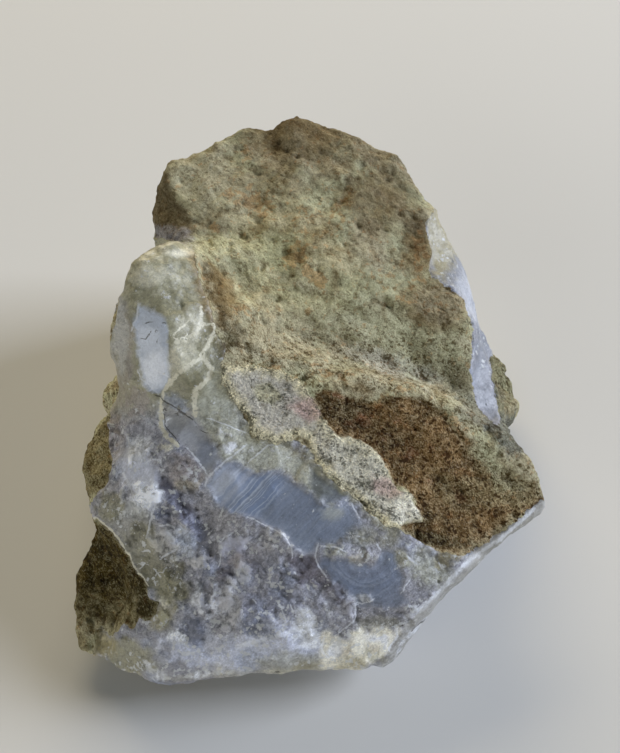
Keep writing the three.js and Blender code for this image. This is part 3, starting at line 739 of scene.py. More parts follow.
# %% Stain the chalcedony
BROAD_DABS = [
    # left shoulder: striped mauve edge, pale lilac patch made whiter as painted light, olive rim
    ("mauve", 0.7, -34.4, -9, 2, 6, 10), ("ice", 0.75, -29.4, -17, 3.4, 5.4, 30),
    ("frost", 0.6, -28.8, -21.9, 3, 2, 20), ("glass", 0.8, -34.3, -22.5, 2.6, 2.6),
    ("glass", 0.6, -29.5, -29, 3, 3.5, -50), ("sky", 0.6, -22, -28.4, 2, 3, 30),
    ("peat", 0.6, -27.6, -34, 2, 2.6, -60), ("glass", 0.8, 15.2, -31.4, 2.6, 1.8),
    ("glass", 0.5, 7.5, -27.8, 3, 1.4, -20), ("mauve", 0.7, -21.5, -16.5, 3, 3.2),
    ("sand", 0.4, -21.2, -18.8, 2.4, 1.2),
    # the dark streak and what lies right of it
    ("ink", 0.8, -22, -23, 7, 1.3, -55), ("haze", 0.7, -16.5, -23.4, 4.6, 2.4, -30),
    ("haze", 0.4, -9, -28.5, 5, 2.2, -25),
    # the field of flakes
    ("ink", 0.3, -8, -36, 7, 5, -10), ("pit", 0.7, 1, -34.5, 3.2, 2.4, -30), ("ink", 0.35, -8, -42.5, 5, 3),
    # the toe
    ("ice", 0.85, -11, -47.8, 14, 3.2), ("ice", 0.5, -20, -47, 5, 3), ("blue", 0.5, -20, -44.5, 3, 3),
    ("violet", 0.5, -16.5, -46, 2.6, 2), ("glass", 0.9, -23.8, -36.4, 2.8, 3.6),
    ("sand", 0.6, -26, -41.4, 2, 2.4), ("plate", 0.5, -13.9, -40, 1.8, 4),
    ("blue", 0.4, -10.4, -49, 2.4, 2), ("smoke", 0.6, -3, -49.8, 6, 1.8, 5),
    ("sand", 0.5, 0, -50.5, 3, 1.2), ("cream", 0.35, -10, -51.6, 14, 0.6, 3),
    ("smoke", 0.8, -32, -48.5, 5, 3, -20), ("sand", 0.9, -38.4, -46.4, 4.6, 2.6),
    ("bark", 0.5, -40.6, -45.8, 2.2, 2.4), ("moss", 0.55, -26.4, -33.2, 3.8, 5, -50),
    ("pit", 0.4, -12, -31.6, 3.4, 2.6),
    # right front: olive-grey glass towards the lip
    ("olive", 0.7, 20.5, -33.3, 4, 2.6, -35), ("sand", 0.7, 24, -31.2, 2.6, 1.4, 30),
    ("violet", 0.6, 17.8, -38, 2.4, 2.2), ("glass", 0.6, 13.5, -28.3, 2.2, 1.4),
    ("smoke", 0.5, 9, -27.5, 2.5, 1.6), ("glass", 0.5, 12, -42.6, 4, 1.2),
]
vein_tint = dabs(vein_tint, BROAD_DABS)
print("broad dabs:", len(BROAD_DABS))

# %% Colour the lobe
LOBE_DABS = [
    ("cream", 0.6, -28.3, 17.4, 2.4, 2), ("cream", 0.8, -22.8, 21.4, 2.4, 0.7),
    ("glass", 0.7, -22.4, 12.5, 2.8, 2.6), ("cream", 0.6, -22.6, 3.2, 2.2, 2.4),
    ("glass", 0.6, -20.4, -1.6, 1.8, 2.6, -20), ("mauve", 0.7, -32.6, 5, 1.9, 9),
    ("smoke", 0.5, -33, 6, 1.6, 7), ("white", 0.6, -27.2, 0.6, 2.2, 2.6),
    ("cream", 0.4, -20.6, 7.5, 3, 3.4), ("glass", 0.7, -16.4, 4.6, 1.2, 3.6, -10),
    ("ice", 0.6, -26.8, 0.4, 1.8, 3), ("glass", 0.8, -18.4, 6.6, 0.9, 2.2, -25),
    ("glass", 0.7, -21.6, 7.6, 1.4, 0.9, 30),
]
LOBE_RIM = [(-19.4, 21), (-18.8, 17.4), (-17.3, 12.8), (-16, 8), (-15.2, 5.3)]
creamy = 0.35 * lobe * rise(wisp + 0.8 * speck, 0.1, 0.45) * rise(sheet[:, 1], 10, 15)
lobe_rim = rise(near_line(broken_sheet, LOBE_RIM) + 0.8 * wisp, 2.2, 0.6)
vein_tint = mixed(mixed(vein_tint, TONES["smoke"], 0.9 * lobe), TONES["cream"], creamy)
vein_tint = mixed(vein_tint, TONES["bark"], 0.75 * lobe_rim)  # the lobe and the rock stain each other
rock_tint = mixed(rock_tint, TONES["bone"], 0.5 * lobe_rim * rise(speck, 0, 0.4))
vein_tint = dabs(vein_tint, LOBE_DABS)
print("lobe dabs:", len(LOBE_DABS))

# %% Fill the windows, the lens, the flank and the toe
ZONE_FILLS = [  # the colour, how strong, the zone, and how soft its edge is
    ("olive", 0.85, "olive", 1.2), ("smoke", 0.4, "shoulder", 1.0), ("steel", 0.9, "slate", 0.6),
    ("slate", 0.95, "window", 1.2), ("denim", 0.85, "second", 0.8), ("sky", 0.9, "lobe_window", 0.25),
    ("lead", 0.9, "grey_lens", 0.6), ("dusk", 0.9, "flank", 1.0), ("frost", 0.9, "lip", 0.4),
]
WINDOW_DABS = [
    ("lilac", 0.6, -14.2, -19, 3.8, 3.2, 40), ("denim", 0.55, 2.4, -25, 7, 4, -30),
    ("denim", 0.35, -5.2, -21.6, 3, 3), ("sky", 0.35, -14, -19.2, 3.4, 2.6, 30),
    ("white", 0.6, -27.4, 1.4, 1.9, 3.4), ("denim", 0.6, -18, -13.4, 1.8, 2.6, -30),
    ("frost", 0.6, -29.4, -12, 2, 1.7), ("frost", 0.35, -33, 8, 1.5, 7),
]
for colour, strength, name, edge in ZONE_FILLS:
    vein_tint = mixed(vein_tint, TONES[colour], strength * in_zone(name, -0.4 * edge, edge))
toe_share = 0.9 * rise(zones["toe"] + 1.1 * wisp + 0.5 * cloud, -0.8, 0.8) * drawn_share
vein_tint = mixed(vein_tint, TONES["ivory"], toe_share)
vein_tint = mixed(vein_tint, TONES["smoke"], 0.7 * in_zone("crust", -1.6, -0.1))
vein_tint = dabs(vein_tint, WINDOW_DABS)
print("zones filled:", len(ZONE_FILLS))

# %% Lay clear-edged patches over the broken field
CLEAR_DABS = [
    ("pit", 0.56, -25.2, -18.6, 1.6, 1, -50), ("pit", 0.49, -22, -22.4, 2, 1, -55),
    ("ink", 0.56, -25.2, -23.8, 1.5, 1.8), ("plate", 0.56, -25.2, -28.3, 2.5, 2.2),
    ("glass", 0.56, -29.4, -26.6, 1.4, 1.5), ("plate", 0.56, -19.2, -31.9, 1.9, 0.9, 5),
    ("plate", 0.49, -12, -34.3, 1.8, 2.4), ("plate", 0.42, -6.5, -28.3, 1.5, 1, 60),
    ("pit", 0.63, -15.3, -34.3, 1.5, 1.2), ("ink", 0.42, -18, -33.5, 1.1, 3, -10),
    ("pit", 0.8, -1.6, -32.2, 2.4, 1.4), ("pit", 0.5, 1, -35, 3, 1.6, -20),
    ("pit", 0.56, 4.4, -37.2, 2.6, 1.2, -25), ("ink", 0.42, -20, -43.9, 2, 2.4),
    ("frost", 0.7, -19.3, -38.8, 0.9, 2.8, 6), ("white", 0.5, -16.9, -39.5, 0.5, 2.8, -2),
    ("ice", 0.42, -16.7, -39.6, 0.8, 3.5, -4), ("frost", 0.35, -9, -47, 1, 0.8),
    ("white", 0.8, -23, -45.3, 1.5, 0.9, -20), ("white", 0.9, -0.2, -45.2, 2.2, 2.4),
    ("white", 0.6, -1.2, -42.4, 1.8, 1.8), ("ice", 0.5, -5, -43, 2.6, 1.6, -30),
    ("white", 0.8, -28.2, -50.2, 0.7, 0.9), ("white", 0.8, -25.8, -52.1, 1.4, 0.5, 10),
    ("white", 0.8, -19.2, -51.7, 1.3, 0.5), ("cream", 0.7, -15.5, -50.5, 0.8, 1),
    ("frost", 0.35, -6, -48.6, 0.9, 0.8), ("cream", 0.6, -25.2, -39.1, 0.9, 1.2),
    ("smoke", 0.49, -25.7, -41.8, 1.1, 1), ("violet", 0.49, 5.3, -40.8, 2.2, 1.7),
    ("plate", 0.42, 9.5, -38.4, 1.8, 0.9), ("frost", 0.35, 2.5, -40.2, 0.5, 1),
    ("olive", 0.56, 4.2, -30.4, 2.2, 0.8), ("sand", 0.39, 8.3, -31.6, 1.8, 1),
    ("frost", 0.42, 20.4, -29.6, 1.6, 0.8), ("olive", 0.49, 3.7, -23.4, 2.2, 1.1),
    # painted light: the white and ice dabs on the left shoulder make it lighter than its own pale lilac
    ("white", 0.65, -28.6, -20.4, 2.4, 3, 30), ("ice", 0.6, -29.6, -15.4, 2.2, 2.6, 30),
    ("frost", 0.7, -30.4, -13, 1.6, 1.8, -20), ("white", 0.9, -26, -7, 0.55, 2.3, 12),
    ("cream", 0.7, -24.6, -12.4, 0.9, 0.9), ("blue", 0.63, -23.2, -4.6, 2.6, 1, -42),
    ("mauve", 0.63, -29.9, -4.6, 1.7, 3), ("earth", 0.85, -15.8, -11.7, 1.1, 0.6, -20),
    ("white", 0.95, -13.7, -12.2, 1, 0.8, 30), ("earth", 0.9, -1, -12.1, 1.1, 0.6),
    ("earth", 0.8, -0.4, -14, 0.6, 0.5), ("sand", 0.42, -2.4, -13.2, 2.4, 0.7, -15),
    ("sand", 0.6, 7, -49.6, 2.6, 1.2, 15), ("bark", 0.45, 6.3, -47.2, 1.6, 0.8, 15),
    ("bark", 0.4, 10.8, -47.3, 1.3, 0.8), ("white", 0.8, 4.6, -47, 1.9, 1.1, 30),
    ("white", 0.8, 11.4, -45.6, 2.4, 0.9, -10), ("smoke", 0.5, 10.6, -48.2, 1.8, 1, -30),
    ("mauve", 0.4, -12, -32, 2, 1.4, 20),
]
vein_tint = dabs(vein_tint, CLEAR_DABS, soft=0.3, places=broken_sheet)
print("clear dabs:", len(CLEAR_DABS))

# %% Colour the flank and the lip
LIP_UNDERSIDE = [
    (38.5, -24.5), (32.5, -30), (25.8, -35.3), (23.7, -37.9), (20.9, -40.4), (18, -42.6), (15.6, -45.2),
    (13, -50),
]
on_flank = rise(zones["flank"], -0.6, -0.1)
vein_tint = dab(vein_tint, "sand", 0.8, 22.5, 24.5, 3, 8, where=on_flank)
vein_tint = dab(vein_tint, "white", 0.3, 28.4, 14, 3, 5, where=on_flank)
underside = rise(near_line(wavy_sheet, LIP_UNDERSIDE), 0.9, 0.5) * in_zone("lip", -0.6, -0.2)
vein_tint = mixed(vein_tint, TONES["fawn"], 0.8 * underside)
vein_tint = dab(vein_tint, "fawn", 0.9, 18.8, -46.4, 7, 1.9, 47, rise(zones["lip"], -0.8, -0.3), soft=0.3)
lip_end = in_zone("lip", -1.5, 0) * rise(sheet[:, 0], 25, 30)
vein_tint = mixed(vein_tint, TONES["fawn"], 0.8 * lip_end)
print("lip, share of the skin:", (zones["lip"] > 0).mean().round(3))

# %% Colour the crust
CRUST_DABS = [
    ("cream", 0.6, 9, -16, 9, 4.5, -45), ("pink", 0.75, 0, -5.6, 3.4, 2, -15),
    ("pink", 0.7, 13.2, -19.3, 2.8, 1.7, -30), ("ivory", 0.9, 16.8, -23.2, 2.8, 2.4),
]
crust_tint = dabs(crust_tint, CRUST_DABS)
crust_tint = mixed(crust_tint, TONES["bone"], rise(zones["island"], -0.3, 0.4))
rock_tint = mixed(rock_tint, crust_tint, in_zone("crust", -0.25, 0.25))
specks = mixed(-0.1, 1.0, rise(zones["crust"], 1.5, 0.3))
specks = np.maximum(specks, 1.6 * rise(zones["crust"], 1.3, 0.2) * rise(sheet[:, 0], 0, -3))
specks = np.maximum(specks, 0.8 * rise(sheet[:, 0] + wisp, 0.5, 3.0))
specks = specks * rise(sheet[:, 0] + wisp, 15.5, 13)
specks = np.maximum(specks, rise(zones["island"], -0.4, 0.4))
print("specks:", specks.min().round(2), "to", specks.max().round(2))

# %% Scatter white chips
CHIP_CLOUDS = [  # how thickly they lie, then the oval
    (1, -1, -43.5, 2.6, 3), (0.7, -5, -41, 3, 2.4, -40), (0.7, -23, -45.3, 2.4, 1.6),
    (0.8, -27.5, -50.5, 2, 1.6), (0.7, -20, -47.5, 4, 1.6), (0.6, -12, -48, 8, 2),
    (0.6, -29, -21, 3, 3, 20), (0.8, -32, -24, 3, 2, -40), (0.3, -27.6, -32, 3, 2, -50),
    (0.9, -13.7, -12.2, 1.2, 1.1), (0.7, 4.6, -30.6, 2.8, 1.2), (0.9, 10.3, -31.3, 1, 0.9),
    (0.7, 9, -39, 2, 1.2), (0.8, 17.6, -40, 1.6, 1, 30), (0.5, -19.2, -26.2, 1.4, 0.9),
    (0.6, -10, -46.6, 6, 1.6, 10), (0.7, -20, -51, 12, 1.4, 2), (0.6, -28.3, 17.4, 3, 2.4),
    (0.7, -30.9, 3.4, 1.2, 0.9), (0.5, -22.6, 3.2, 2.4, 2.4), (0.7, -27, -14.6, 2, 1.4),
    (0.6, -14, -26, 4, 1.6, -30), (0.5, -15.7, -29.7, 0.8, 2.6), (0.6, 8, -45.5, 6, 3),
    (0.2, -9, -14.2, 8, 2.4, -20), (0.35, 20, -31.5, 5, 2, -35), (0.5, -7.5, -37.4, 4, 3, -30),
    (0.35, -8, -12.6, 8, 2, -20), (0.4, -17.5, -3, 2, 4, -20), (0.35, -13, -8.5, 3, 2.5, -40),
]
FEWER_CHIPS = [  # the zone, the share that goes, and the edge of the zone
    ("slate", 0.9, -0.4, 0.3), ("grey_lens", 0.9, -0.4, 0.3), ("second", 0.9, -0.4, 0.3),
    ("olive", 0.5, -0.3, 0.5), ("window", 0.9, 0, 1), ("lobe_window", 0.9, 0, 0.6),
]
chips_share = 0.45 * rise(cloud, -0.4, 0.4)
for strength, *oval in CHIP_CLOUDS:
    way = way_out(*oval) + 0.25 * wisp
    chips_share = np.maximum(chips_share, strength * rise(way, 1.4, 0.5) * drawn_share)
for name, gone, low, high in FEWER_CHIPS:
    chips_share = chips_share * (1 - gone * rise(zones[name], low, high))
chips_share = chips_share * (1 - 0.7 * lobe)
print("chips, on average:", chips_share.mean().round(2))

# %% [markdown]
# ## Thin lines
#
# White veinlets cross the chalcedony, the edges of its plates catch the light, and a few cracks are dark.
# All are thinner than a square of the skin, so painting them point by point would blur them. Each point
# keeps how far it is from the nearest line instead, and the shader cuts the line out of that distance.

# %% Draw the veinlets, the bright edges and the cracks
VEINLETS = {  # half the width, then the lines on the sheet
    0.4: [
        [(-24.1, -0.8), (-22.6, 0.9), (-21.2, 1.6), (-19.6, 2.6), (-18.8, 3.5)],
        [(-18.8, 11.8), (-19, 9.2), (-20, 7.2), (-21.6, 6.3), (-23.4, 5.7)],
        [(-24.1, -0.8), (-25.3, -2.6), (-25.9, -4.1), (-25.9, -6.6), (-25.7, -9), (-24.6, -10.6),
         (-22.8, -12)],
    ],
    0.46: [[(-18.8, 3.5), (-17.1, 1.5), (-17.6, -0.4), (-19.6, -2.2), (-20.2, -4.8), (-20, -6.7)]],
    0.42: [[(-16.1, 9.2), (-16.7, 7.2), (-18, 4.7), (-18.8, 3.5)]],
    0.2: [[(-21.2, 9.4), (-22.8, 8.4), (-23.5, 6.9)]],
    0.25: [[(-19, 9.2), (-17.6, 9), (-16.1, 9.2)]],
    0.22: [[(-37.4, -24), (-34.1, -26.7), (-32.3, -29.4), (-30.2, -32.8), (-28.3, -36)]],
}
BRIGHT_EDGES = {
    0.14: [
        [(-18.3, -18.9), (-17.6, -17.5), (-14.9, -14.8), (-13.2, -13.6), (-11.2, -12)],
        [(-28.4, -15), (-27.4, -14.2), (-26.2, -14.5)], [(-25.8, -15.3), (-25.3, -16), (-25.7, -16.5)],
        [(-21.3, -12.4), (-19.5, -14.4), (-17.8, -16.9)], [(17.3, -39.8), (18.4, -39.8)],
        [(2.4, -45.2), (2, -47.4), (2.9, -48.6)], [(-26.9, -35.7), (-26.8, -35.9)],
        [(-9.8, -38.8), (-9.5, -39.1)],
    ],
    0.12: [
        [(-10.6, -14.8), (-8.9, -13.4), (-7.3, -12)], [(1.4, -29.2), (0.9, -31), (1.5, -33), (2.8, -34.6)],
        [(2, -29.4), (4.5, -29.6), (6, -30.2)], [(-15.4, -28.6), (-14.8, -27.8), (-13.6, -27.4)],
        [(-25.9, -25.9), (-24.8, -25.7), (-23.5, -26.3)], [(-28.9, -30.2), (-28.4, -29.9), (-27.8, -30.4)],
        [(-29.7, 12.6), (-30.4, 9.4), (-30.8, 8)], [(0.2, -44.1), (1.8, -43.6)],
        [(7.8, -39.2), (8, -42.2), (6.7, -43.2), (5.6, -44)], [(11.6, -29.1), (12.1, -29.9)],
        [(22.4, -32.4), (23, -33.4)], [(7.6, -38.8), (9.4, -39.6), (11, -38.6)],
        [(-29, -33), (-28.6, -32.4)],
    ],
    0.1: [
        [(7.3, -22.2), (8.5, -24.4)], [(-4, -28), (-3.3, -29.5), (-3, -31.2)],
        [(-10.6, -24.4), (-6.5, -26.4), (-4.6, -27.4)], [(-15.4, -30.7), (-15.7, -32.9)],
        [(-31, -19.6), (-30.4, -21.4)], [(-27.3, 1.3), (-24.5, -0.2)],
        [(-29.9, 1), (-29.4, -0.4), (-26.3, -3)], [(-17.6, -7.2), (-14, -8.6), (-11.4, -9.6)],
        [(-5.4, -39.3), (-4.8, -40.5), (-4.1, -42.5)], [(-3.3, -39.7), (-2.9, -41.1)],
        [(16, -37.4), (17.4, -35.3)], [(-27, -33.4), (-26.2, -34.6)], [(-25, -33.2), (-25.8, -34.4)],
        [(-1.6, -37), (-1.4, -37.1)],
    ],
    0.2: [[(-32.4, -16.9), (-31.2, -19.1)], [(-2.9, -42.7), (-1.5, -45)]],
    0.16: [
        [(-25.8, -20.3), (-27.2, -23.2), (-28, -26.8), (-28.2, -27.8)],
        [(-22.5, -28.7), (-23.5, -30.1), (-25.8, -31.5)], [(-1.3, -43.5), (-0.1, -42.9), (1, -41.7)],
        [(15, -44), (15.2, -45), (13.6, -47.4)],
    ],
    0.35: [[(-12.7, -46.8), (-7, -45.4), (-2.9, -44.1)]],
    0.18: [[(16.8, -31.2), (18.5, -32.5)]],
    0.3: [
        [(39, -23), (33, -28), (27.8, -31.8), (25.8, -33.5), (22.9, -36.9), (20.5, -38.9), (16.6, -41.9)],
    ],
}
CRACKS = {
    0.15: [[(-25.5, -4.2), (-23.9, -5), (-22.4, -6.1), (-20.6, -7.3), (-20, -7.9)]],
    0.1: [
        [(-18.9, -9.4), (-18, -9.8)], [(-25.5, -5.4), (-25.1, -8.7), (-23.9, -10), (-22.8, -11.4)],
        [(-25.7, 9.3), (-25.1, 9.3)], [(-27.5, 7.8), (-26.8, 7.8)], [(-28.2, 7.6), (-28, 7.6)],
        [(-29.3, 6.5), (-28.2, 6.4)], [(-28.4, 9.4), (-27.7, 9.4)], [(-6, -51.3), (-5.2, -51.2)],
        [(-36, -35.6), (-34.4, -35.4), (-32.5, -35.6)],
        [(38.4, -25.2), (32.3, -31), (25.6, -36.4), (20.6, -41.5), (17.6, -43.9)],
    ],
    0.3: [[(-22.7, -6), (-21.6, -6.6)]],
    0.12: [
        [(-26.8, 6.4), (-26.7, 6.2)], [(-26.6, -3.4), (-26.2, -3.4)], [(-5.5, -46.8), (-5.3, -46.8)],
        [(-22.1, -15.4), (-22, -15.5)], [(16, -43), (15.8, -43.2)],
    ],
}
nearly_straight = wavy(sheet, 1.2, 0.1, 91)


def lines_near(lines, places, wider=1.0):
    """Which side of the nearest line each point is on, in half-widths, and whether a line is near at all."""
    nearest = side = np.full(len(points), DEEPEST)
    share = np.zeros(len(points))
    x, y = places.T
    for half, line in [(half * wider, line) for half, group in lines.items() for line in group]:
        last = len(line) - 2
        for index, ((x0, y0), (x1, y1)) in enumerate(zip(line, line[1:])):
            length = math.hypot(x1 - x0, y1 - y0)
            along = ((x - x0) * (x1 - x0) + (y - y0) * (y1 - y0)) / length
            across = ((x - x0) * (y1 - y0) - (y - y0) * (x1 - x0)) / length
            way = np.hypot(across, np.maximum(np.maximum(-along, along - length), 0))
            past_end = np.maximum(-along if index == 0 else 0, along - length if index == last else 0)
            closer = way < nearest
            nearest = np.where(closer, way, nearest)
            side = np.where(closer, np.copysign(way, across) / half, side)
            share = np.where(closer, rise(way, 0.62, 0.45) * rise(past_end, 0.4, 0.1), share)
    return side, share * drawn_share


veinlet, veinlet_share = lines_near(VEINLETS, wavy_sheet)
bright_edge, bright_share = lines_near(BRIGHT_EDGES, nearly_straight, wider=1.3)
crack, crack_share = lines_near(CRACKS, nearly_straight)
print("veinlets, share of the skin:", ((abs(veinlet) < 1) & (veinlet_share > 0.5)).mean().round(4))

# %% Say which way the lace runs, and where it shows
ARC_X, ARC_Y = 9.5, -30.5  # the bands of the small window are arcs around this place
STRIPE_TURN = math.radians(46)  # the bands of the main window run up to the right
arc = np.hypot(sheet[:, 0] - ARC_X, sheet[:, 1] - ARC_Y)
stripe = sheet[:, 1] * math.cos(STRIPE_TURN) - sheet[:, 0] * math.sin(STRIPE_TURN)
striped = rise(way_out(-11.2, -19.4, 6.2, 4.6, 20), 1.3, 0.7)
second_share = in_zone("second", -0.2, 0.8)
window_share = in_zone("window", -0.5, 0.1)
lace = mixed(layer, 0.5 * arc, rise(second_share, 0.2, 0.3))
lace = mixed(lace, 0.9 * stripe, rise(window_share, 0.2, 0.3))
lace_share = np.maximum(1 - drawn_share, 0.28 * second_share)
lace_share = np.maximum(lace_share, (0.15 + 0.85 * striped) * window_share)
print("lace, share of the skin:", (lace_share > 0.5).mean().round(2))

# %% Keep it all on the skin
def store(mesh, name, values):
    """A number or a colour for every point, under a name that the shader can ask for."""
    if np.ndim(values) == 1:
        mesh.attributes.new(name, "FLOAT", "POINT").data.foreach_set("value", values.astype(np.float32))
    else:
        solid = np.concatenate([values, np.ones((len(values), 1))], axis=1).astype(np.float32)
        mesh.attributes.new(name, "FLOAT_COLOR", "POINT").data.foreach_set("color", solid.ravel())


for name, values in {
    "vein": vein, "crust": np.where(drawn, zones["crust"], -DEEPEST), "veinlet": veinlet,
    "veinlet_share": veinlet_share, "bright_edge": bright_edge, "bright_share": bright_share,
    "crack": crack, "crack_share": crack_share, "lace": lace, "lace_share": lace_share,
    "flaky": flaky, "flake": flake, "chips": chips_share, "rust": rust, "grit": grit, "specks": specks,
    "rock_tint": rock_tint, "vein_tint": vein_tint,
}.items():
    store(skin, name, values)
print("attributes:", [kept.name for kept in skin.attributes])

# %% [markdown]
# ## Finish
#
# Two materials share the stone: waxy chalcedony, which lets light in under its skin, and dull rock,
# which doesn't. One would do for the colours, but not for the light. Both are put together from the same
# small groups, so that their colours meet without a seam. A shader is arithmetic done at every spot of
# the surface, so the outputs of nodes are first wrapped in a class that can be added and multiplied.

# %% Let nodes be written as sums
class Wire:
    """One output of a node. Sums of wires and numbers make the math nodes that work them out."""

    def __init__(self, socket):
        self.socket = socket
        self.tree = socket.id_data

    def __getitem__(self, name):
        """Another output of the same node."""
        return Wire(self.socket.node.outputs[name])

    def __add__(self, other):
        return maths("ADD", self, other)

    def __sub__(self, other):
        return maths("SUBTRACT", self, other)

    def __mul__(self, other):
        return maths("MULTIPLY", self, other)

    def __rtruediv__(self, other):
        return maths("DIVIDE", other, self)

    def __abs__(self):
        return maths("ABSOLUTE", self)


def place(kind, inputs, tree=None, title="", **settings):
    """Adds a node beside the wires that go into it, or in a tree, and gives back its first output."""
    tree = tree or next(value.tree for value in inputs.values() if isinstance(value, Wire))
    node = tree.nodes.new(kind)
    node.label = title
    for setting, value in settings.items():
        setattr(node, setting, value)
    for socket, value in inputs.items():
        if isinstance(value, Wire):
            tree.links.new(value.socket, node.inputs[socket])
        else:
            node.inputs[socket].default_value = value
    return Wire(node.outputs[0])


def maths(operation, *values):
    return place("ShaderNodeMath", dict(enumerate(values)), operation=operation)


def vector_maths(operation, *values):
    return place("ShaderNodeVectorMath", dict(enumerate(values)), operation=operation)


def step(value, low, high):
    """0 to 1 while the value goes from low to high."""
    return place("ShaderNodeMapRange", {0: value, 1: low, 2: high}, interpolation_type="SMOOTHSTEP")


def blend(share, first, second):
    """Part of the way from one number to another."""
    return place("ShaderNodeMix", {0: share, 2: first, 3: second})


def stir(share, first, second, how="MIX"):
    """Part of the way from one colour to another."""
    return place("ShaderNodeMix", {0: share, 6: first, 7: second}, data_type="RGBA", blend_type=how)[2]


def stained(colour, stain):
    """What is left of a colour behind a stain."""
    return stir(1.0, colour, stain, "MULTIPLY")


def times(colour, lightness):
    """A colour made lighter or darker."""
    return stained(colour, place("ShaderNodeCombineColor", dict.fromkeys(range(3), lightness), colour.tree))


def swing(noise, amount):
    """Turns a noise around one half into a lightness around one."""
    return (noise - 0.5) * amount + 1.0


def make_group(build, inputs):
    """A node group: build works out its outputs from what it is given and from the place on the stone."""
    group = bpy.data.node_groups.new(build.__name__, "ShaderNodeTree")
    for title, kind in inputs.items():
        group.interface.new_socket(title, in_out="INPUT", socket_type=f"NodeSocket{kind}")
    given = Wire(group.nodes.new("NodeGroupInput").outputs[0])
    metres = place("ShaderNodeTexCoord", {}, group)["Object"]
    results = build(given, place("ShaderNodeVectorMath", {0: metres, 3: 1 / MM}, operation="SCALE"))
    for title, wire in results.items():
        kind = "Color" if wire.socket.type == "RGBA" else "Float"
        group.interface.new_socket(title, in_out="OUTPUT", socket_type=f"NodeSocket{kind}")
    end = group.nodes.new("NodeGroupOutput")
    for title, wire in results.items():
        group.links.new(wire.socket, end.inputs[title])
    print("group:", group.name, "with", len(group.nodes), "nodes, gives", list(results))
    return group


# %% Patterns that the groups share
def along_layers(spot, stretch, turn=38):
    """Draws a pattern out along the layers of the rock, which run to the right and forwards."""
    turned = place("ShaderNodeMapping", {"Vector": spot, "Rotation": (0, 0, math.radians(turn))})
    return vector_maths("MULTIPLY", turned, (1 / stretch, 1, 1))


def noise(spot, across, detail=2.0, roughness=0.5, shift=0, stretch=None, turn=38):
    """A noise some millimetres across. One that is shifted doesn't repeat another."""
    if shift:
        spot = vector_maths("ADD", spot, (shift, shift, shift))
    if stretch:
        spot = along_layers(spot, stretch, turn)
    return place("ShaderNodeTexNoise", {
        "Vector": spot, "Scale": 1 / across, "Detail": detail, "Roughness": roughness})["Fac"]


def facets(spot, across, bend_across, bend):
    """Small broken faces with crooked borders: three draws for each, and how high a tilted face stands."""
    stirred = place("ShaderNodeTexNoise", {"Vector": spot, "Scale": 1 / bend_across, "Detail": 2.0})["Color"]
    bent = vector_maths("MULTIPLY_ADD", stirred, (bend, bend, bend), spot)
    face = place("ShaderNodeTexVoronoi", {"Vector": bent, "Scale": 1 / across})
    lean = vector_maths("SUBTRACT", face["Color"], (0.5, 0.5, 0.5))
    reach = vector_maths("SUBTRACT", bent, face["Position"])
    draws = place("ShaderNodeSeparateColor", {0: face["Color"]})
    return draws, vector_maths("DOT_PRODUCT", lean, reach)["Value"]


# %% Ragged edges between kinds of stone
def ragged_edge(given, spot):
    """Cuts a stored distance into a mask with a torn edge."""
    torn = noise(spot, given["Across"], 3.0)
    return {"Mask": step((torn - 0.5) * given["Tear"] + given["Distance"], -0.06, 0.06)}


def line_mark(given, spot):
    """Cuts a thin line out of a side, in half-widths, and keeps it only where a line is near."""
    torn = noise(spot, given["Across"], 3.0)
    way = abs((torn - 0.5) * given["Tear"] + given["Side"])
    return {"Mask": step(way, 1.3, 0.5) * step(torn, 0.3, 0.42) * step(given["Near"], 0.2, 0.6)}


edge_group = make_group(ragged_edge, {"Distance": "Float", "Tear": "Float", "Across": "Float"})
line_group = make_group(line_mark, {"Side": "Float", "Near": "Float", "Tear": "Float", "Across": "Float"})

# %% [markdown]
# ## The wall rock
#
# It is a mass of small crystals, pale and dark, drawn out along its layers and stained by rust. Cells
# give each crystal a lightness and a tilt of its own, which a noise alone can't do, and noises that are
# stretched one way add the layers.

# %% Grains of the wall rock
BROWNED, RUSTED, DARKENED = (1.0, 0.82, 0.55, 1), (1.0, 0.74, 0.56, 1), (0.24, 0.18, 0.1, 1)
BLEACHED, PALE_GRAIN = (0.38, 0.37, 0.26, 1), (0.4, 0.37, 0.29, 1)


def rock_grain(given, spot):
    """Small crystals, some pale and some dark, drawn out along the layers, with rust where it is stained."""
    tint, grit = given["Tint"], given["Grit"]
    coarse = noise(spot, 1.6, 3.0, 0.6, stretch=1.8)
    fine = noise(spot, 0.25, 4.0, 0.75)
    fibre = noise(spot, 0.22, 3.0, 0.7, shift=15, stretch=4.0, turn=60)
    draws, face_height = facets(spot, 0.5, 0.4, 0.5)
    lightness = swing(draws[0], grit * 0.45) * swing(coarse, 1.35)
    lightness = lightness * swing(fine, grit * 2.2) * swing(fibre, grit * 2.4)
    colour = times(tint, maths("MAXIMUM", lightness, 0.15))
    colour = stir(step(lightness, 0.9, 0.35), colour, stained(colour, BROWNED))
    colour = stir(step(lightness, 1.0, 2.2) * 0.5, colour, BLEACHED)

    clump = (coarse - 0.5) * 1.2
    spark = noise(spot, 0.3, 2.0, 0.6, shift=33, stretch=2.0, turn=60)
    pale = step(clump * 0.1 + spark, 0.6, 0.68) * (grit * 0.5)
    colour = stir(pale, colour, stir(0.5, times(tint, 1.8), PALE_GRAIN))
    rusty = step(given["Rust"] * 0.17 + noise(spot, 1.3, 4.0, 0.65, shift=90), 0.57, 0.68)
    colour = stir(rusty * 0.75, colour, stained(colour, RUSTED))
    dark = step(draws[2] - clump, 0.86, 0.94) * (grit * 0.6)
    colour = stir(dark, colour, stained(tint, DARKENED))
    height = fine * 0.24 + face_height * 0.35 + fibre * 0.1 - dark * 0.1 + coarse * 0.22
    return {"Colour": colour, "Height": height}


rock_group = make_group(rock_grain, {"Tint": "Color", "Grit": "Float", "Rust": "Float"})

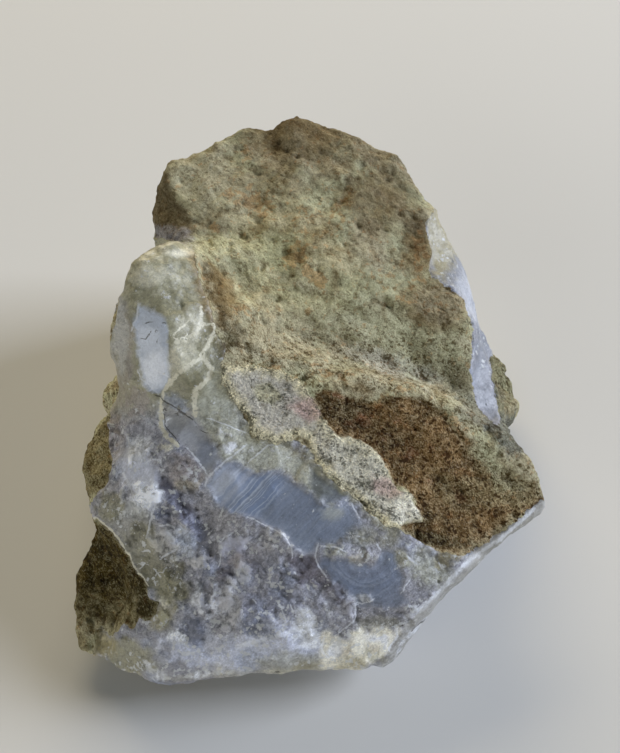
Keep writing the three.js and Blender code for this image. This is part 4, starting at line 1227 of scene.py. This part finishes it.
# %% [markdown]
# ## The chalcedony
#
# Whole chalcedony is clear and waxy. Where it is splintered, it is white, because light goes astray in
# the small breaks. So the group paints by depth: plates that stand up are pale, pockets between them are
# dark, and their rims and the loose chips are white. Shards of two sizes break up what is left.

# %% Plates, pockets, broken faces and white chips
RIM_WHITE, BRIM_WHITE = (0.56, 0.56, 0.54, 1), (0.66, 0.67, 0.68, 1)
CHIP_WHITE, GLINT_WHITE = (0.62, 0.63, 0.62, 1), (0.8, 0.82, 0.84, 1)


def wax_cloud(given, spot):
    """Waxy stone: clear where it is whole, white where it is splintered."""
    tint, frost, flake, chips = given["Tint"], given["Frost"], given["Flake"], given["Chips"]
    mottle = noise(spot, 0.9, 4.0, 0.65, shift=20)
    fine = noise(spot, 0.34, 3.0, 0.65)
    hackle = noise(spot, 0.26, 2.0, 0.6, shift=60, stretch=7.0, turn=-48)
    large, large_height = facets(spot, 1.9, 0.8, 0.6)
    small, small_height = facets(spot, 0.6, 0.6, 0.25)
    spread = frost + 0.3
    lightness = swing(mottle, spread * 1.2) * swing(fine, spread * 0.9) * swing(hackle, spread)
    lightness = lightness * swing(large[0], frost * 0.18) * swing(small[0], frost * 0.35)
    colour = times(tint, maths("MAXIMUM", lightness, 0.2))

    splinter = flake * 0.12 + (noise(spot, 0.42, 3.0, 0.6, shift=61) - 0.5)
    raised = step(splinter, 0.1, 0.13) * (frost * 0.5)
    sunk = step(splinter, -0.1, -0.14) * (frost * 0.5)
    colour = stir(raised, colour, times(tint, 1.7))
    colour = stir(sunk, colour, times(tint, 0.5))
    torn = (noise(spot, 0.7, 4.0, 0.65, shift=70) - 0.5) * 1.3 + flake
    patches = noise(spot, 1.5, 2.0, shift=50)
    plates = step(torn, 0.27, 0.32)
    pockets = step(torn, -0.24, -0.34)
    colour = stir(plates * 0.65, colour, times(tint, 1.55))
    colour = stir(pockets * 0.6, colour, times(tint, 0.5))

    rims = plates * step(torn, 0.46, 0.36) * step(patches, 0.42, 0.62)
    colour = stir(rims * 0.8, colour, RIM_WHITE)
    brims = step(abs(torn - 0.3), 0.05, 0.015) * step(patches, 0.45, 0.55)
    colour = stir(brims * 0.6, colour, BRIM_WHITE)
    chance = (patches - 0.5) * 1.2 + small[1]
    white = step(chance - (chips * -0.66 + 1.16), 0.0, 0.05)
    colour = stir(white * 0.7, colour, CHIP_WHITE)
    glints = step(chips * 0.08 + noise(spot, 0.3, 2.0, 0.7, shift=7), 0.7, 0.76)
    colour = stir(glints * 0.8, colour, GLINT_WHITE)

    rough = frost * 0.16 + 0.32 + plates * 0.12 + mottle * 0.15
    height = large_height * 0.45 + small_height * 0.4 + fine * 0.1 + mottle * 0.12
    height = height * (frost * 0.95 + 0.05) + plates * 0.1 + white * 0.04
    return {"Colour": colour, "Roughness": rough, "Height": height}


wax_group = make_group(wax_cloud, {"Tint": "Color", "Frost": "Float", "Flake": "Float", "Chips": "Float"})

# %% [markdown]
# ## Lace and sugar
#
# Lace is the thin bands that give this agate its name. They follow the way that it grew, so a noise along
# that one way is enough, and it never repeats as evenly as a wave would. The crust looks like sugar: pale
# grains with dark green pits between them, which are cells under a noise that opens in places.

# %% Bands of lace
BAND_BLUE, BAND_WHITE = (0.19, 0.25, 0.38, 1), (0.56, 0.61, 0.68, 1)


def lace_bands(given, spot):
    """White and blue bands across the way that the agate grew."""
    wander = noise(spot, 3.0) * 1.1 + given["Depth"]
    broad, thin = [
        place("ShaderNodeTexNoise", {"W": wander, "Scale": scale, "Detail": detail}, noise_dimensions="1D")
        for scale, detail in ((0.45, 1.0), (2.2, 2.0))]
    white = step(thin, 0.5, 0.6) * (given["Share"] * step(noise(spot, 5.0), 0.22, 0.45))
    blue = step(broad, 0.4, 0.6) * given["Share"]
    colour = stir(blue * 0.7, given["Tint"], BAND_BLUE)
    return {"Colour": stir(white * 0.45, colour, BAND_WHITE)}


lace_group = make_group(lace_bands, {"Tint": "Color", "Depth": "Float", "Share": "Float"})

# %% A crust of sugar
PIT_GREEN, AMBER = (0.08, 0.08, 0.05, 1), (0.3, 0.23, 0.1, 1)


def sugar_crust(given, spot):
    """Pale sugary grains with dark green pits and a little amber between them."""
    grain = noise(spot, 0.3, 3.0, 0.7)
    draws, face_height = facets(spot, 0.42, 0.4, 0.4)
    colour = times(given["Tint"], (grain * 2.0 - 0.05) * swing(draws[0], 0.6))
    chance = given["Specks"] * 0.085 + noise(spot, 0.44, 3.0, 0.75, shift=40)
    dark = step((noise(spot, 1.9, 2.0) - 0.5) * 0.65 + chance, 0.59, 0.7)
    colour = stir(dark * 0.8, colour, PIT_GREEN)
    amber = step(noise(spot, 0.6, 3.0, 0.65, shift=80), 0.58, 0.68)
    colour = stir(amber * 0.45, colour, AMBER)
    return {"Colour": colour, "Height": grain * 0.24 + face_height * 0.4 - dark * 0.2}


sugar_group = make_group(sugar_crust, {"Tint": "Color", "Specks": "Float"})

# %% Put the two materials together
LINES = [  # the line and its share, how torn it is, how strong, and its colour
    ("veinlet", "veinlet_share", 2.2, 0.85, (*TONES["cream"], 1)),
    ("bright_edge", "bright_share", 1.8, 0.48, (*TONES["white"], 1)),
    ("crack", "crack_share", 0.8, 0.85, (0.04, 0.035, 0.025, 1)),
]
QUARTZ_IOR = 1.54
DULL = 0.85  # the roughness of the rock


def stone_finish(name, shine, under_skin):
    """One of the two materials. Both have the whole mixture, so that they meet without a seam."""
    finish = bpy.data.materials.new(name)
    finish.use_nodes = True
    tree = finish.node_tree
    shader = tree.nodes["Principled BSDF"]

    def stored(kept, output="Fac"):
        return place("ShaderNodeAttribute", {}, tree, kept, attribute_name=kept)[output]

    def use(group, **inputs):
        return place("ShaderNodeGroup", inputs, tree, group.name, node_tree=group)

    rock_tint = stored("rock_tint", "Color")
    wax = use(wax_group, Tint=stored("vein_tint", "Color"), Frost=stored("flaky"), Flake=stored("flake"),
              Chips=stored("chips"))
    vein_colour = use(lace_group, Tint=wax["Colour"], Depth=stored("lace"), Share=stored("lace_share"))
    for line, share, tear, strength, colour in LINES:
        mark = use(line_group, Side=stored(line), Near=stored(share), Tear=tear, Across=0.6)
        vein_colour = stir(mark * strength, vein_colour, colour)
    rock = use(rock_group, Tint=rock_tint, Grit=stored("grit"), Rust=stored("rust"))
    sugar = use(sugar_group, Tint=rock_tint, Specks=stored("specks"))
    crusted = use(edge_group, Distance=stored("crust"), Tear=1.2, Across=0.7)
    bare = use(edge_group, Distance=stored("vein"), Tear=0.8, Across=0.9)
    wall = stir(crusted, rock["Colour"], sugar["Colour"])
    height = blend(bare, blend(crusted, rock["Height"], sugar["Height"]), wax["Height"])
    ready = {
        "Base Color": stir(bare, wall, vein_colour), "Roughness": blend(bare, DULL, wax["Roughness"]),
        "Normal": place("ShaderNodeBump", {"Height": height, "Distance": MM, "Strength": 1.0}),
    }
    for socket, wire in ready.items():
        tree.links.new(wire.socket, shader.inputs[socket])
    fill_in(shader, {"IOR": QUARTZ_IOR, "Specular IOR Level": shine})
    if under_skin:
        fill_in(shader, {"Subsurface Weight": under_skin, "Subsurface Radius": (1.0, 1.0, 1.1),
                         "Subsurface Scale": 0.5 * MM})
    return finish


chalcedony = stone_finish("blue_chalcedony", shine=0.5, under_skin=0.2)
wall_rock = stone_finish("wall_rock", shine=0.15, under_skin=0)
print("materials:", chalcedony.name, "and", wall_rock.name)

# %% [markdown]
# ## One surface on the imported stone
#
# The skin has more squares than it needs. Thinned by one ratio, they would be lost evenly. Decimation
# takes them where the stone is plain and leaves them where it is rough. The surface rides on the packed
# stone's body and is shown in its place, with one material for the chalcedony and one for the rock.

# %% Thin the skin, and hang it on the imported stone
MOST_TRIANGLES = 190_000


def count_triangles(mesh):
    return sum(len(side.vertices) - 2 for side in mesh.polygons)


whole = put_in_scene("whole", skin)
if count_triangles(skin) > MOST_TRIANGLES:
    whole.modifiers.new("thin", "DECIMATE").ratio = MOST_TRIANGLES / count_triangles(skin)
surface = modified(whole)
surface.name = "agate_stone_surface"
stone = put_in_scene("agate_stone_surface", surface)
surface.materials.clear()
surface.materials.append(chalcedony)
surface.materials.append(wall_rock)
depth = read(surface.attributes["vein"].data, "value", kind=np.float32)
starts = read(surface.polygons, "loop_start", kind=np.int64)
corner_points = read(surface.loops, "vertex_index", kind=np.int64)
on_vein = depth[corner_points[starts]] > 0
surface.polygons.foreach_set("material_index", np.where(on_vein, 0, 1).astype(np.int32))
surface.polygons.foreach_set("use_smooth", np.ones(len(surface.polygons), dtype=bool))
surface.update()
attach(stone, "root")
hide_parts("agate_stone")
print("surface:", len(surface.vertices), "points,", count_triangles(surface), "triangles")
